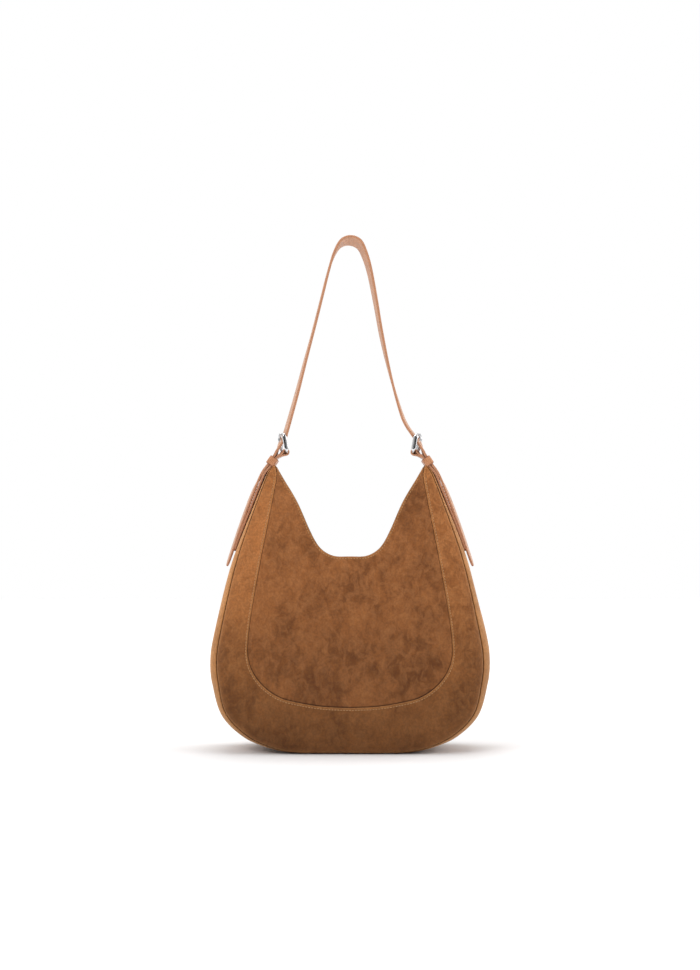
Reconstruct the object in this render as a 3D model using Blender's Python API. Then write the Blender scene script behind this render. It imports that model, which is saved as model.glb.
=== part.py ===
"""Suede hobo bag: domed panels on a gusset, leather tabs, buckles and a shoulder strap.

The bag stands on the ground with its front facing -Y.  The origin is under the middle of the base.
Metres, +Z up.  Run with: blender --background --python part.py
"""
import math

import bmesh
import bpy
import numpy as np
from mathutils import Matrix, Vector

# ---- the body: half outlines from the middle of the base or mouth out to one ear, as (x, z) ----
SEAM_POINTS = [(0.0, 0.0), (0.030, 0.0), (0.055, 0.0), (0.090, 0.0045), (0.126, 0.0205),
               (0.1535, 0.048), (0.1634, 0.0865), (0.1657, 0.1163), (0.1618, 0.1467),
               (0.1477, 0.2157), (0.137, 0.2559), (0.1205, 0.305), (0.1055, 0.347), (0.0995, 0.355)]
PANEL_POINTS = [(0.0, 0.0574), (0.034, 0.0590), (0.064, 0.0638), (0.0868, 0.070), (0.1065, 0.0832),
                (0.1199, 0.1003), (0.1262, 0.1181), (0.1267, 0.138), (0.1225, 0.175),
                (0.111, 0.244), (0.0975, 0.3178), (0.0935, 0.345), (0.0955, 0.357)]
MOUTH_POINTS = [(0.0, 0.2436), (0.019, 0.244), (0.0325, 0.2497), (0.0425, 0.260), (0.0525, 0.279),
                (0.068, 0.314), (0.086, 0.3445), (0.0935, 0.355)]
STATIONS = 20                    # steps from the middle to one ear
BAND_SHARE = 0.25                # how much of the dome's rise belongs to the outer band
BAND_STOPS = (0.0, 0.06, 0.14, BAND_SHARE)     # rows from the gusset seam to the panel seam
CENTRE_STOPS = (BAND_SHARE, 0.40, 0.55, 0.70, 0.86)    # rows on to the facing's lower edge
EAR_STATION = 0.6                # where the linings stop short of the ears
DOME = 0.022                     # how far the panels bulge past their edges
MOUTH_HALF_GAP = 0.022           # half the mouth's opening at its middle
EAR_HALF_GAP = 0.0125            # half the mouth's opening at the ears
SEAM_DEPTH_Z = (0.0, 0.10, 0.20, 0.30, 0.355)
SEAM_DEPTH = (0.050, 0.052, 0.0435, 0.0265, 0.0145)
BULGE_Z = (0.0, 0.0045, 0.02, 0.05, 0.09, 0.15, 0.22, 0.305, 0.355)
BULGE = (0.0, 0.003, 0.007, 0.009, 0.011, 0.0098, 0.0072, 0.0035, 0.0015)
SUEDE = 0.0018
LINING = 0.0010
GAP = 0.0003                     # clearance between touching pieces

# ---- how finely curves and rounds are stepped ----
CURVE_STEPS = 24                 # between two points of a smooth curve
STRAP_STEPS = 64
TAIL_STEPS = 9
TAB_STEPS = 8
NEAR = 0.2                       # stations closer to an end than this are left out
BAR_SIDES = 8
CORNER_STEPS = 3
EYE_STEPS = 15
DISC_SIDES = 24
SHARP = math.radians(35.0)       # edges sharper than this stay crisp
STEM_NOSE = 0.4                  # how far a stem's end is chamfered, in half widths
TIP_TAPER = 0.35                 # the tail's tip against its full width

# ---- leather and buckles, right side; the left side mirrors it ----
STRAP_WIDTH = 0.026
STRAP_THICK = 0.0032
HINGE_BAR = Vector((0.0837, 0.0, 0.3765))
TOP_BAR = Vector((0.0877, 0.0, 0.3995))
BAR_RADIUS = 0.0016
FRAME_HALF_WIDTH = 0.0157        # from the middle to a rail's centre line
FRAME_CORNER = 0.003
TOE_IN = math.radians(13.0)      # the buckles' front ends stand nearer the middle
BORE_RADIUS = BAR_RADIUS + GAP
LOOP_RADIUS = 0.0035
LOOP_WIDTH = 0.0236              # the tab narrows where it folds round the bar
LOOP_STUB = 0.0050
STUB_DROP = math.radians(30.0)   # the fold's free end points outwards and down
PRONG_WIDTH = 0.0024
PRONG_EYE_RADIUS = 0.0031
PRONG_HALF = 0.0011              # half the prong's thickness
PRONG_LIFT = 0.0015              # from the top bar's surface to the prong's middle
PRONG_SLOT = 0.0036
NOTCH_SPAN = (-0.004, 0.012)     # the prong's notch in the strap, outwards from the hinge bar
NOTCH_RISE = (0.007, 0.019)      # and upwards from it
KEEPER_CENTRE = Vector((0.0993, 0.0, 0.3649))
KEEPER_SLOPE = math.radians(55.5)
KEEPER_LENGTH = 0.010
KEEPER_WALL = 0.0014
LAYER_OFFSET = 0.0019            # from the keeper's middle to the tab's and the tail's middles
TAIL_RUN = (-0.0096, 0.0060)     # the tail's straight stretch through the keeper
TAB_RUN = (0.0055, -0.0074)      # the tab's, from its lower end up
TAB_BOTTOM_Z = 0.2493
TAB_TOP_Z = 0.350
TAB_LIFT = 0.0022                # the tab's middle above the gusset's surface
STRAP_END = Vector((0.0880, 0.0, 0.3902))
STRAP_LEFT = [(0.0846, 0.3945), (0.0826, 0.4015), (0.0780, 0.4174), (0.0675, 0.4555),
              (0.0577, 0.4937), (0.0476, 0.5318), (0.0380, 0.570), (0.0285, 0.6081),
              (0.0215, 0.631), (0.0126, 0.6462)]
STRAP_RIGHT = [(0.0846, 0.3945), (0.0810, 0.3995), (0.0730, 0.4110), (0.0667, 0.425),
               (0.0574, 0.4555), (0.0478, 0.4937), (0.0398, 0.5318), (0.0332, 0.570),
               (0.026, 0.6081), (0.0195, 0.631), (0.0117, 0.6462)]
STRAP_APEX = (-0.0006, 0.6510)
STRAP_YAW = (-13.0, -8.0, -8.0, -3.0, 13.0)    # degrees, evenly spaced from left to right
STRAP_PITCH = 0.26               # the arch's top leans to show its underside
TAIL_START = (0.0935, 0.3785)
TAIL_POINTS = [(0.1146, 0.3476), (0.1265, 0.3220), (0.1400, 0.2850), (0.1497, 0.2550),
               (0.1568, 0.2325)]

# ---- inside: base board, snap and hanging zip pocket ----
BOARD_SIZE = (0.100, 0.084, 0.002)
BOARD_Z = 0.0062
SNAP_RADIUS = 0.007
SNAP_THICK = 0.002
SNAP_Z = 0.2270
POUCH_TOP = Vector((0.0, 0.0170, 0.2120))
POUCH_TILT = math.radians(13.5)  # the pouch leans with the back panel
POUCH_SIZE = (0.130, 0.0030, 0.086)
TAPE_SIZE = (0.120, 0.0012, 0.022)
TEETH_SIZE = (0.118, 0.0014, 0.0036)
SLIDER_SIZE = (0.0095, 0.0030, 0.0075)
PULL_SIZE = (0.0060, 0.0014, 0.0220)
PULL_CLEARANCE = 0.0009          # between the slider and its hanging pull
EDGE = 0.0006                    # bevel of the small blocks
SNAP_SHARE = 0.97                # the snap's place up the facing
PULL_RISE = 0.0010               # the pull's top above its hinge
ZIP_DROP = 0.018                 # the zip's line below the pouch's top
ZIP_TRAVEL_START = -0.052        # the closed slider's place along the zip


def clear_scene():
    """Remove every object and mesh that the file holds."""
    for item in list(bpy.data.objects):
        bpy.data.objects.remove(item, do_unlink=True)


def make_material(name, colour, roughness, metallic=0.0):
    """A Principled material with one colour."""
    material = bpy.data.materials.new(name)
    material.use_nodes = True
    shader = material.node_tree.nodes["Principled BSDF"]
    shader.inputs["Base Color"].default_value = (*colour, 1.0)
    shader.inputs["Roughness"].default_value = roughness
    shader.inputs["Metallic"].default_value = metallic
    return material


def make_object(name, bm, material):
    """Close a bmesh's normals outwards and make an object of it."""
    bmesh.ops.recalc_face_normals(bm, faces=bm.faces)
    mesh = bpy.data.meshes.new(name)
    bm.to_mesh(mesh)
    bm.free()
    mesh.shade_smooth()
    mesh.set_sharp_from_angle(angle=SHARP)
    mesh.materials.append(material)
    item = bpy.data.objects.new(name, mesh)
    bpy.context.collection.objects.link(item)
    return item


def smooth_curve(points, steps):
    """Points evenly spaced along a Catmull-Rom curve through the given points."""
    nodes = [Vector(p) for p in points]
    nodes = [nodes[0] * 2 - nodes[1]] + nodes + [nodes[-1] * 2 - nodes[-2]]
    fine = []
    for a, b, c, d in zip(nodes, nodes[1:], nodes[2:], nodes[3:]):
        for k in range(CURVE_STEPS):
            t = k / CURVE_STEPS
            fine.append(0.5 * (2 * b + (c - a) * t + (2 * a - 5 * b + 4 * c - d) * t ** 2
                               + (3 * b - a - 3 * c + d) * t ** 3))
    fine.append(nodes[-2])
    lengths = np.cumsum([0.0] + [(q - p).length for p, q in zip(fine, fine[1:])])
    wanted = np.linspace(0.0, lengths[-1], steps + 1)
    columns = [np.interp(wanted, lengths, [p[axis] for p in fine]) for axis in range(len(fine[0]))]
    return [Vector(values) for values in zip(*columns)]


def whole_outline(half_points):
    """Stations from the left ear under the bag to the right ear."""
    right = smooth_curve(half_points, STATIONS)
    right = [Vector((p.x, max(p.y, 0.0))) for p in right]
    left = [Vector((-p.x, p.y)) for p in reversed(right)]
    return left + right[1:]


SEAM = whole_outline(SEAM_POINTS)
PANEL_SEAM = whole_outline(PANEL_POINTS)
MOUTH = whole_outline(MOUTH_POINTS)
LAST = 2 * STATIONS


def station(outline, u):
    """A point of an outline at a station that need not be a whole number."""
    low = min(int(u), LAST - 1)
    return outline[low].lerp(outline[low + 1], u - low)


def inward(u):
    """The seam's normal towards the bag's inside, in the front plane."""
    along = station(SEAM, min(u + 0.5, LAST)) - station(SEAM, max(u - 0.5, 0))
    return Vector((-along.y, along.x)).normalized()


def middle_share(u):
    """One at the bag's middle, falling to nothing at the ears."""
    return math.cos(math.pi / 2 * (u / STATIONS - 1.0))


def panel_point(u, r, depth, facing):
    """A point of a panel: r runs from the gusset seam to the mouth, depth runs into the wall."""
    seam, join, mouth = (station(line, u) for line in (SEAM, PANEL_SEAM, MOUTH))
    if r < BAND_SHARE:
        spot = seam.lerp(join, r / BAND_SHARE)
    else:
        spot = join.lerp(mouth, (r - BAND_SHARE) / (1.0 - BAND_SHARE))
    spot = spot + inward(u) * depth * (1.0 - r)
    share = middle_share(u)
    edge = EAR_HALF_GAP + (MOUTH_HALF_GAP - EAR_HALF_GAP) * share
    y = np.interp(seam.y, SEAM_DEPTH_Z, SEAM_DEPTH) * (1.0 - r) + edge * r
    y += DOME * share ** 0.8 * math.sin(math.pi * r ** 0.6) - depth
    return Vector((spot.x, facing * y, spot.y))


def gusset_point(u, t, depth):
    """A point of the gusset: t runs from the front seam at -1 to the back seam at 1."""
    seam = station(SEAM, u)
    half = np.interp(seam.y, SEAM_DEPTH_Z, SEAM_DEPTH) - depth
    bulge = np.interp(seam.y, BULGE_Z, BULGE) * (1.0 - t ** 4)
    spot = seam + inward(u) * (depth - bulge)
    return Vector((spot.x, t * half, spot.y))


def whole_stations(start, end):
    """Every whole station between two ends, with the ends themselves."""
    return [start] + [u for u in range(LAST + 1) if start + NEAR < u < end - NEAR] + [end]


def shell(name, material, place, us, rows_at, depths):
    """A closed wall between two depths of a surface, over stations and the rows across it."""
    bm = bmesh.new()
    outer, inner = ([[bm.verts.new(place(u, v, depth)) for v in rows_at(u)] for u in us]
                    for depth in depths)
    count = len(us) - 1
    v_steps = len(outer[0]) - 1
    for i in range(count):
        for k in range(v_steps):
            bm.faces.new((outer[i][k], outer[i + 1][k], outer[i + 1][k + 1], outer[i][k + 1]))
            bm.faces.new((inner[i][k], inner[i][k + 1], inner[i + 1][k + 1], inner[i + 1][k]))
        for k in (0, v_steps):
            bm.faces.new((outer[i][k], inner[i][k], inner[i + 1][k], outer[i + 1][k]))
    for i in (0, count):
        for k in range(v_steps):
            bm.faces.new((outer[i][k], outer[i][k + 1], inner[i][k + 1], inner[i][k]))
    return make_object(name, bm, material)


def panel_rows(*stops):
    """Rows across a panel, with the first and the last kept a gap off their seams."""
    def rows(u):
        """The panel's r values at a station."""
        band = BAND_SHARE / (station(PANEL_SEAM, u) - station(SEAM, u)).length
        centre = (1.0 - BAND_SHARE) / (station(MOUTH, u) - station(PANEL_SEAM, u)).length
        low = stops[0] + GAP * (band if stops[0] < BAND_SHARE else centre)
        high = stops[-1] - GAP * (band if stops[-1] <= BAND_SHARE else centre)
        return [low, *stops[1:-1], high]
    return rows


def gusset_rows(u):
    """Steps across the gusset, kept a gap off both seams."""
    limit = 1.0 - GAP / np.interp(station(SEAM, u).y, SEAM_DEPTH_Z, SEAM_DEPTH)
    return [-limit, -0.7, 0.0, 0.7, limit]


def build_body(suede, lining):
    """Panels, bands, gussets, facings and linings."""
    inside = SUEDE + GAP
    whole = whole_stations(0, LAST)
    lined = whole_stations(EAR_STATION, LAST - EAR_STATION)
    middle_gap = 0.01
    for side, facing in (("front", -1), ("back", 1)):
        def place(u, r, depth, facing=facing):
            """A point of this side's panel."""
            return panel_point(u, r, depth, facing)
        shell(f"{side}_centre_panel", suede, place, whole, panel_rows(*CENTRE_STOPS, 1.0),
              (0.0, SUEDE))
        shell(f"{side}_band", suede, place, whole, panel_rows(*BAND_STOPS), (0.0, SUEDE))
        shell(f"{side}_facing", suede, place, lined, panel_rows(CENTRE_STOPS[-1], 1.0),
              (inside, inside + SUEDE))
        shell(f"{side}_lining", lining, place, lined, panel_rows(*BAND_STOPS[:-1], *CENTRE_STOPS),
              (inside, inside + LINING))
    for side, span in (("left", (0, STATIONS - middle_gap)), ("right", (STATIONS + middle_gap, LAST))):
        shell(f"{side}_gusset", suede, gusset_point, whole_stations(*span), gusset_rows, (0.0, SUEDE))
    shell("gusset_lining", lining, gusset_point, lined, gusset_rows, (inside, inside + LINING))


def band_frames(points, yaws, pitch=0.0):
    """Centre, width axis and thickness axis at each point of a strap's middle line."""
    frames = []
    for k, (point, yaw) in enumerate(zip(points, yaws)):
        lean = pitch * math.sin(math.pi * k / (len(points) - 1)) ** 2
        before = points[max(k - 1, 0)]
        after = points[min(k + 1, len(points) - 1)]
        along = (after - before).normalized()
        wide = Vector((math.sin(yaw), math.cos(yaw), -math.sin(lean)))
        wide = (wide - along * wide.dot(along)).normalized()
        frames.append((point, wide, along.cross(wide)))
    return frames


def leather_band(name, material, points, yaws=None, pitch=0.0, pointed=False):
    """A flat strap along a middle line, whose far end may come to a blunt point."""
    yaws = yaws or [0.0] * len(points)
    frames = band_frames(points, yaws, pitch)
    bm = bmesh.new()
    rings = []
    for k, (centre, wide, thick) in enumerate(frames):
        taper = TIP_TAPER if pointed and k == len(frames) - 1 else 1.0
        half_w = wide * STRAP_WIDTH / 2 * taper
        half_t = thick * STRAP_THICK / 2
        corners = (half_w + half_t, half_t - half_w, -half_w - half_t, half_w - half_t)
        rings.append([bm.verts.new(centre + corner) for corner in corners])
    for ring, following in zip(rings, rings[1:]):
        for k in range(4):
            bm.faces.new((ring[k], ring[(k + 1) % 4], following[(k + 1) % 4], following[k]))
    bm.faces.new(rings[0])
    bm.faces.new(reversed(rings[-1]))
    return make_object(name, bm, material)


def mirrored(points, sign):
    """Plain (x, z) pairs or vectors as 3-D points on the wanted side."""
    return [Vector((sign * p[0], 0.0, p[-1])) for p in points]


def keeper_line(offset, *distances):
    """Points along the keeper's direction, at an offset outwards from its middle line."""
    slope = Vector((math.cos(KEEPER_SLOPE), -math.sin(KEEPER_SLOPE)))
    across = Vector((math.sin(KEEPER_SLOPE), math.cos(KEEPER_SLOPE)))
    middle = Vector((KEEPER_CENTRE.x, KEEPER_CENTRE.z)) + across * offset
    return [middle + slope * distance for distance in distances]


def tail_points():
    """The strap's end: straight through the keeper, then down beside the gusset."""
    straight = keeper_line(LAYER_OFFSET, *TAIL_RUN)
    curved = smooth_curve([straight[1], *TAIL_POINTS], TAIL_STEPS)
    return [Vector(TAIL_START), straight[0]] + curved


def tab_points():
    """The tab's middle line, from its sewn end up the gusset and on to the keeper."""
    heights = [point.y for point in SEAM[STATIONS:]]
    start, end = np.interp((TAB_BOTTOM_Z, TAB_TOP_Z), heights, range(STATIONS, LAST + 1))
    path = []
    for u in np.linspace(start, end, TAB_STEPS + 1):
        seam = station(SEAM, u)
        lift = np.interp(seam.y, BULGE_Z, BULGE) + TAB_LIFT
        path.append(seam - inward(u) * lift)
    return path + keeper_line(-LAYER_OFFSET, *TAB_RUN)


def cylinder(name, radius, length, centre, turn, material, segments=16):
    """A cylinder along the bag's depth, turned about the vertical."""
    bm = bmesh.new()
    placed = Matrix.Translation(centre) @ Matrix.Rotation(turn, 4, "Z")
    placed = placed @ Matrix.Rotation(math.pi / 2, 4, "X")
    bmesh.ops.create_cone(bm, cap_ends=True, segments=segments, radius1=radius, radius2=radius,
                          depth=length, matrix=placed)
    return make_object(name, bm, material)


def extruded(name, outline, width, centre, turn, material):
    """A closed (x, z) outline drawn round a point, given a width along the bag's depth."""
    bm = bmesh.new()
    placed = Matrix.Translation(centre) @ Matrix.Rotation(turn, 4, "Z")
    sides = []
    for y in (-width / 2, width / 2):
        sides.append([bm.verts.new(placed @ Vector((p[0], y, p[1]))) for p in outline])
    count = len(outline)
    for k in range(count):
        after = (k + 1) % count
        bm.faces.new((sides[0][k], sides[0][after], sides[1][after], sides[1][k]))
    bm.faces.new(sides[0])
    bm.faces.new(reversed(sides[1]))
    return make_object(name, bm, material)


def cut(item, cutter):
    """Cut one object with another, which is left as a hidden guide."""
    cutter.hide_render = True
    cutter.display_type = "WIRE"
    modifier = item.modifiers.new("cut_" + cutter.name, "BOOLEAN")
    modifier.operation = "DIFFERENCE"
    modifier.solver = "EXACT"
    modifier.object = cutter


def eye_outline(radius, direction, reach, half_width):
    """A round eye about the origin with a stem that reaches out along a direction."""
    start = math.asin(half_width / radius)
    heading = math.atan2(direction[1], direction[0])
    arc = np.linspace(start, 2 * math.pi - start, EYE_STEPS)
    outline = [(radius * math.cos(heading + a), radius * math.sin(heading + a)) for a in arc]
    nose = STEM_NOSE * half_width
    for along, across in ((reach - nose, -half_width), (reach, -nose),
                          (reach, nose), (reach - nose, half_width)):
        outline.append((along * math.cos(heading) - across * math.sin(heading),
                        along * math.sin(heading) + across * math.cos(heading)))
    return outline


def build_frame(name, centre, turn, sign, steel):
    """The buckle's frame: a round bar bent to a rectangle with small corners."""
    up = Vector((sign * (TOP_BAR.x - HINGE_BAR.x), 0.0, TOP_BAR.z - HINGE_BAR.z))
    height = up.length
    up.normalize()
    depth_axis = Vector((0.0, 1.0, 0.0))
    out = depth_axis.cross(up)
    path = []
    corners = ((height - FRAME_CORNER, FRAME_HALF_WIDTH - FRAME_CORNER, 0),
               (height - FRAME_CORNER, FRAME_CORNER - FRAME_HALF_WIDTH, 1),
               (FRAME_CORNER, FRAME_CORNER - FRAME_HALF_WIDTH, 2),
               (FRAME_CORNER, FRAME_HALF_WIDTH - FRAME_CORNER, 3))
    for along, across, quarter in corners:
        for k in range(CORNER_STEPS + 1):
            angle = math.pi / 2 * (quarter + k / CORNER_STEPS)
            radial = up * math.sin(angle) + depth_axis * math.cos(angle)
            path.append((up * along + depth_axis * across + radial * FRAME_CORNER, radial))
    placed = Matrix.Translation(centre) @ Matrix.Rotation(turn, 4, "Z")
    bm = bmesh.new()
    rings = []
    for spot, radial in path:
        ring = []
        for k in range(BAR_SIDES):
            angle = 2 * math.pi * k / BAR_SIDES
            offset = radial * math.cos(angle) + out * math.sin(angle)
            ring.append(bm.verts.new(placed @ (spot + offset * BAR_RADIUS)))
        rings.append(ring)
    for k, ring in enumerate(rings):
        following = rings[(k + 1) % len(rings)]
        for j in range(BAR_SIDES):
            after = (j + 1) % BAR_SIDES
            bm.faces.new((ring[j], ring[after], following[after], following[j]))
    return make_object(name, bm, steel)


def build_keeper(name, sign, leather):
    """A leather loop round the tab and the strap's tail."""
    slope = Vector((sign * math.cos(KEEPER_SLOPE), 0.0, -math.sin(KEEPER_SLOPE)))
    across = Vector((sign * math.sin(KEEPER_SLOPE), 0.0, math.cos(KEEPER_SLOPE)))
    centre = Vector((sign * KEEPER_CENTRE.x, 0.0, KEEPER_CENTRE.z))
    inner = (LAYER_OFFSET + STRAP_THICK / 2 + GAP, STRAP_WIDTH / 2 + GAP)
    outer = (inner[0] + KEEPER_WALL, inner[1] + KEEPER_WALL)
    signs = ((1, 1), (-1, 1), (-1, -1), (1, -1))
    bm = bmesh.new()
    loops = []
    for end, half in ((-1, outer), (1, outer), (1, inner), (-1, inner)):
        loops.append([bm.verts.new(centre + slope * (end * KEEPER_LENGTH / 2)
                                   + across * (a * half[0]) + Vector((0, b * half[1], 0)))
                      for a, b in signs])
    for k, loop in enumerate(loops):
        following = loops[(k + 1) % 4]
        for j in range(4):
            after = (j + 1) % 4
            bm.faces.new((loop[j], loop[after], following[after], following[j]))
    return make_object(name, bm, leather)


def build_side(side, sign, leather, steel):
    """One side's tab, loop, buckle, prong, keeper and strap tail."""
    hinge = Vector((sign * HINGE_BAR.x, 0.0, HINGE_BAR.z))
    turn = -sign * TOE_IN
    leather_band(f"{side}_tab", leather, mirrored(tab_points(), sign))
    leather_band(f"{side}_tail", leather, mirrored(tail_points(), sign), pointed=True)
    build_keeper(f"{side}_keeper", sign, leather)
    build_frame(f"{side}_buckle_frame", hinge, turn, sign, steel)

    stub_way = (sign * math.cos(STUB_DROP), -math.sin(STUB_DROP))
    loop = extruded(f"{side}_tab_loop", eye_outline(LOOP_RADIUS, stub_way, LOOP_STUB, STRAP_THICK / 2),
                    LOOP_WIDTH, hinge, turn, leather)
    cut(loop, cylinder(f"{side}_bar_bore", BORE_RADIUS, LOOP_WIDTH * 2, hinge, turn, leather))
    cut(loop, cylinder(f"{side}_prong_slot", LOOP_RADIUS + GAP, PRONG_SLOT, hinge, turn, leather))

    frame_way = Vector((sign * (TOP_BAR.x - HINGE_BAR.x), TOP_BAR.z - HINGE_BAR.z))
    reach = frame_way.length + BAR_RADIUS
    lift = Vector((sign * frame_way.y, -abs(frame_way.x))).normalized() * (BAR_RADIUS + PRONG_LIFT)
    prong_way = frame_way + lift
    prong = extruded(f"{side}_prong", eye_outline(PRONG_EYE_RADIUS, prong_way, reach, PRONG_HALF),
                     PRONG_WIDTH, hinge, turn, steel)
    cut(prong, cylinder(f"{side}_prong_bore", BORE_RADIUS, PRONG_WIDTH * 2, hinge, turn, steel))


def build_strap(leather):
    """The strap's arch between the two buckles, notched at both ends for the prongs."""
    left = [(-x, z) for x, z in [(STRAP_END.x, STRAP_END.z)] + STRAP_LEFT]
    right = list(reversed(STRAP_RIGHT)) + [(STRAP_END.x, STRAP_END.z)]
    line = smooth_curve(left + [STRAP_APEX] + right, STRAP_STEPS)
    yaws = np.interp(np.linspace(0, 1, len(line)), np.linspace(0, 1, len(STRAP_YAW)),
                     np.radians(STRAP_YAW))
    strap = leather_band("strap", leather, mirrored(line, 1), list(yaws), STRAP_PITCH)
    for side, sign in (("left", -1), ("right", 1)):
        hinge = Vector((sign * HINGE_BAR.x, 0.0, HINGE_BAR.z))
        near, far = NOTCH_SPAN
        low, high = NOTCH_RISE
        corners = [(sign * x, z) for x, z in ((near, low), (far, low), (far, high), (near, high))]
        notch = extruded(f"{side}_strap_notch", corners, PRONG_SLOT, hinge, -sign * TOE_IN, leather)
        cut(strap, notch)


def block(name, size, placed, material, bevel=0.0):
    """A box with its edges taken off, standing at a matrix."""
    bm = bmesh.new()
    bmesh.ops.create_cube(bm, size=1.0, matrix=placed @ Matrix.Diagonal((*size, 1.0)))
    if bevel:
        bmesh.ops.bevel(bm, geom=bm.edges, offset=bevel, segments=1, affect="EDGES")
    return make_object(name, bm, material)


def build_inside(leather, lining, steel, board):
    """Base board, magnetic snap and the hanging zip pocket."""
    block("base_board", BOARD_SIZE, Matrix.Translation((0, 0, BOARD_Z)), board, EDGE)
    face = panel_point(STATIONS, SNAP_SHARE, SUEDE * 2 + GAP, 1).y
    snap_y = face - SNAP_THICK / 2 - GAP
    cylinder("snap_socket", SNAP_RADIUS, SNAP_THICK, Vector((0, -snap_y, SNAP_Z)), 0.0, steel,
             DISC_SIDES)
    cylinder("snap_stud", SNAP_RADIUS, SNAP_THICK, Vector((0, snap_y, SNAP_Z)), 0.0, steel,
             DISC_SIDES)

    plane = Matrix.Translation(POUCH_TOP) @ Matrix.Rotation(POUCH_TILT, 4, "X")
    height = POUCH_SIZE[2]
    block("zip_pouch", POUCH_SIZE, plane @ Matrix.Translation((0, 0, -height / 2)), lining, EDGE)
    tape_y = -(POUCH_SIZE[1] + TAPE_SIZE[1]) / 2 - GAP
    zip_z = -ZIP_DROP
    block("zip_tape", TAPE_SIZE, plane @ Matrix.Translation((0, tape_y, zip_z)), lining)
    teeth_y = tape_y - (TAPE_SIZE[1] + TEETH_SIZE[1]) / 2 - GAP
    block("zip_teeth", TEETH_SIZE, plane @ Matrix.Translation((0, teeth_y, zip_z)), steel)
    slider_y = teeth_y - (TEETH_SIZE[1] + SLIDER_SIZE[1]) / 2 - GAP
    slider_at = plane @ Matrix.Translation((ZIP_TRAVEL_START, slider_y, zip_z))
    block("zip_slider", SLIDER_SIZE, slider_at, steel, EDGE)
    pull_y = slider_y - (SLIDER_SIZE[1] + PULL_SIZE[1]) / 2 - PULL_CLEARANCE
    hang = plane @ Vector((ZIP_TRAVEL_START, pull_y, zip_z))
    pull_at = Matrix.Translation(hang + Vector((0, 0, PULL_RISE - PULL_SIZE[2] / 2)))
    block("zip_pull", PULL_SIZE, pull_at, leather, EDGE)


def main():
    """Build the whole bag."""
    clear_scene()
    suede = make_material("suede", (0.36, 0.16, 0.055), 0.95)
    leather = make_material("strap_leather", (0.50, 0.25, 0.14), 0.5)
    lining = make_material("lining_cloth", (0.30, 0.20, 0.12), 0.9)
    steel = make_material("polished_steel", (0.75, 0.75, 0.76), 0.12, 1.0)
    board = make_material("board", (0.12, 0.09, 0.07), 0.9)
    build_body(suede, lining)
    for side, sign in (("left", -1), ("right", 1)):
        build_side(side, sign, leather, steel)
    build_strap(leather)
    build_inside(leather, lining, steel, board)


main()
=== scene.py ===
"""Looks of a suede hobo bag: panels, leather, buckles, lining and light, around the fixed CAD frame.

Metres, +Z up, front towards -Y.  Each sub-assembly is a class that holds its sizes, builds its meshes
and dresses them; each finish is a small frozen class that builds its own node material.
"""

import logging
import math
from collections.abc import Callable, Sequence
from dataclasses import dataclass, field
from enum import Enum

import bmesh
import bpy
import numpy as np
from mathutils import Matrix, Vector, noise


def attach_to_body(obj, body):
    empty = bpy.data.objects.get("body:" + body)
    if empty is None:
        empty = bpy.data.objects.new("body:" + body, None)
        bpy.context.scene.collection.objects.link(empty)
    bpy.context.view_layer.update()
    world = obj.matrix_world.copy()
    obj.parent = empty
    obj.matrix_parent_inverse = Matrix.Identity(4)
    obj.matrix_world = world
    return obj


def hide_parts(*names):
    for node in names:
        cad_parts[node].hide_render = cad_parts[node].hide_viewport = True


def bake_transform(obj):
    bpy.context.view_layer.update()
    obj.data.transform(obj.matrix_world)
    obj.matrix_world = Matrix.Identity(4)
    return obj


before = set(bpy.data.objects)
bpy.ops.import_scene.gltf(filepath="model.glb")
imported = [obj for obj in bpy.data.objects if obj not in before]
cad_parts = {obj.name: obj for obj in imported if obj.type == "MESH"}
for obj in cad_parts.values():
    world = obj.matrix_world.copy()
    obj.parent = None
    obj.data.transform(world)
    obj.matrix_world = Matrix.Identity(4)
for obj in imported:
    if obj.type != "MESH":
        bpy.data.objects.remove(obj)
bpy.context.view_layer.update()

log = logging.getLogger("hobo_bag")

Pair = tuple[float, float]
Points = np.ndarray
Place = Callable[[Points, Points, Points], Points]


class Side(Enum):
    """The bag's left and right, by the sign of X."""

    LEFT = -1
    RIGHT = 1

    @property
    def word(self) -> str:
        """The side's name in lower case."""
        return self.name.lower()


class Face(Enum):
    """The bag's front and back, by the sign of Y."""

    FRONT = -1
    BACK = 1

    @property
    def word(self) -> str:
        """The face's name in lower case."""
        return self.name.lower()


# Curves and noise

def smooth_line(points: Sequence[Sequence[float]], count: int) -> Points:
    """Evenly spaced points along a Catmull-Rom curve.

    Args:
        points: The curve's own points, each of two or three numbers.
        count: How many steps to divide the curve into.

    Returns:
        An array of count + 1 points.
    """
    knots = np.array(points, float)
    knots = np.vstack([2 * knots[0] - knots[1], knots, 2 * knots[-1] - knots[-2]])
    steps = np.linspace(0.0, 1.0, 48, endpoint=False)[:, None]
    pieces = []
    for a, b, c, d in zip(knots, knots[1:], knots[2:], knots[3:]):
        pieces.append(0.5 * (2 * b + (c - a) * steps + (2 * a - 5 * b + 4 * c - d) * steps ** 2
                             + (3 * b - a - 3 * c + d) * steps ** 3))
    fine = np.vstack([*pieces, knots[-2]])
    return resample(fine, count)


def resample(line: Points, count: int) -> Points:
    """The same line with count even steps along its length."""
    run = run_along(line)
    wanted = np.linspace(0.0, run[-1], count + 1)
    return np.column_stack([np.interp(wanted, run, line[:, k]) for k in range(line.shape[1])])


def run_along(line: Points) -> Points:
    """The distance from a line's start to each of its points."""
    return np.concatenate([[0.0], np.cumsum(np.linalg.norm(np.diff(line, axis=0), axis=1))])


def unit(vectors: Points) -> Points:
    """Vectors scaled to length one."""
    return vectors / np.maximum(np.linalg.norm(vectors, axis=-1, keepdims=True), 1e-12)


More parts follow.
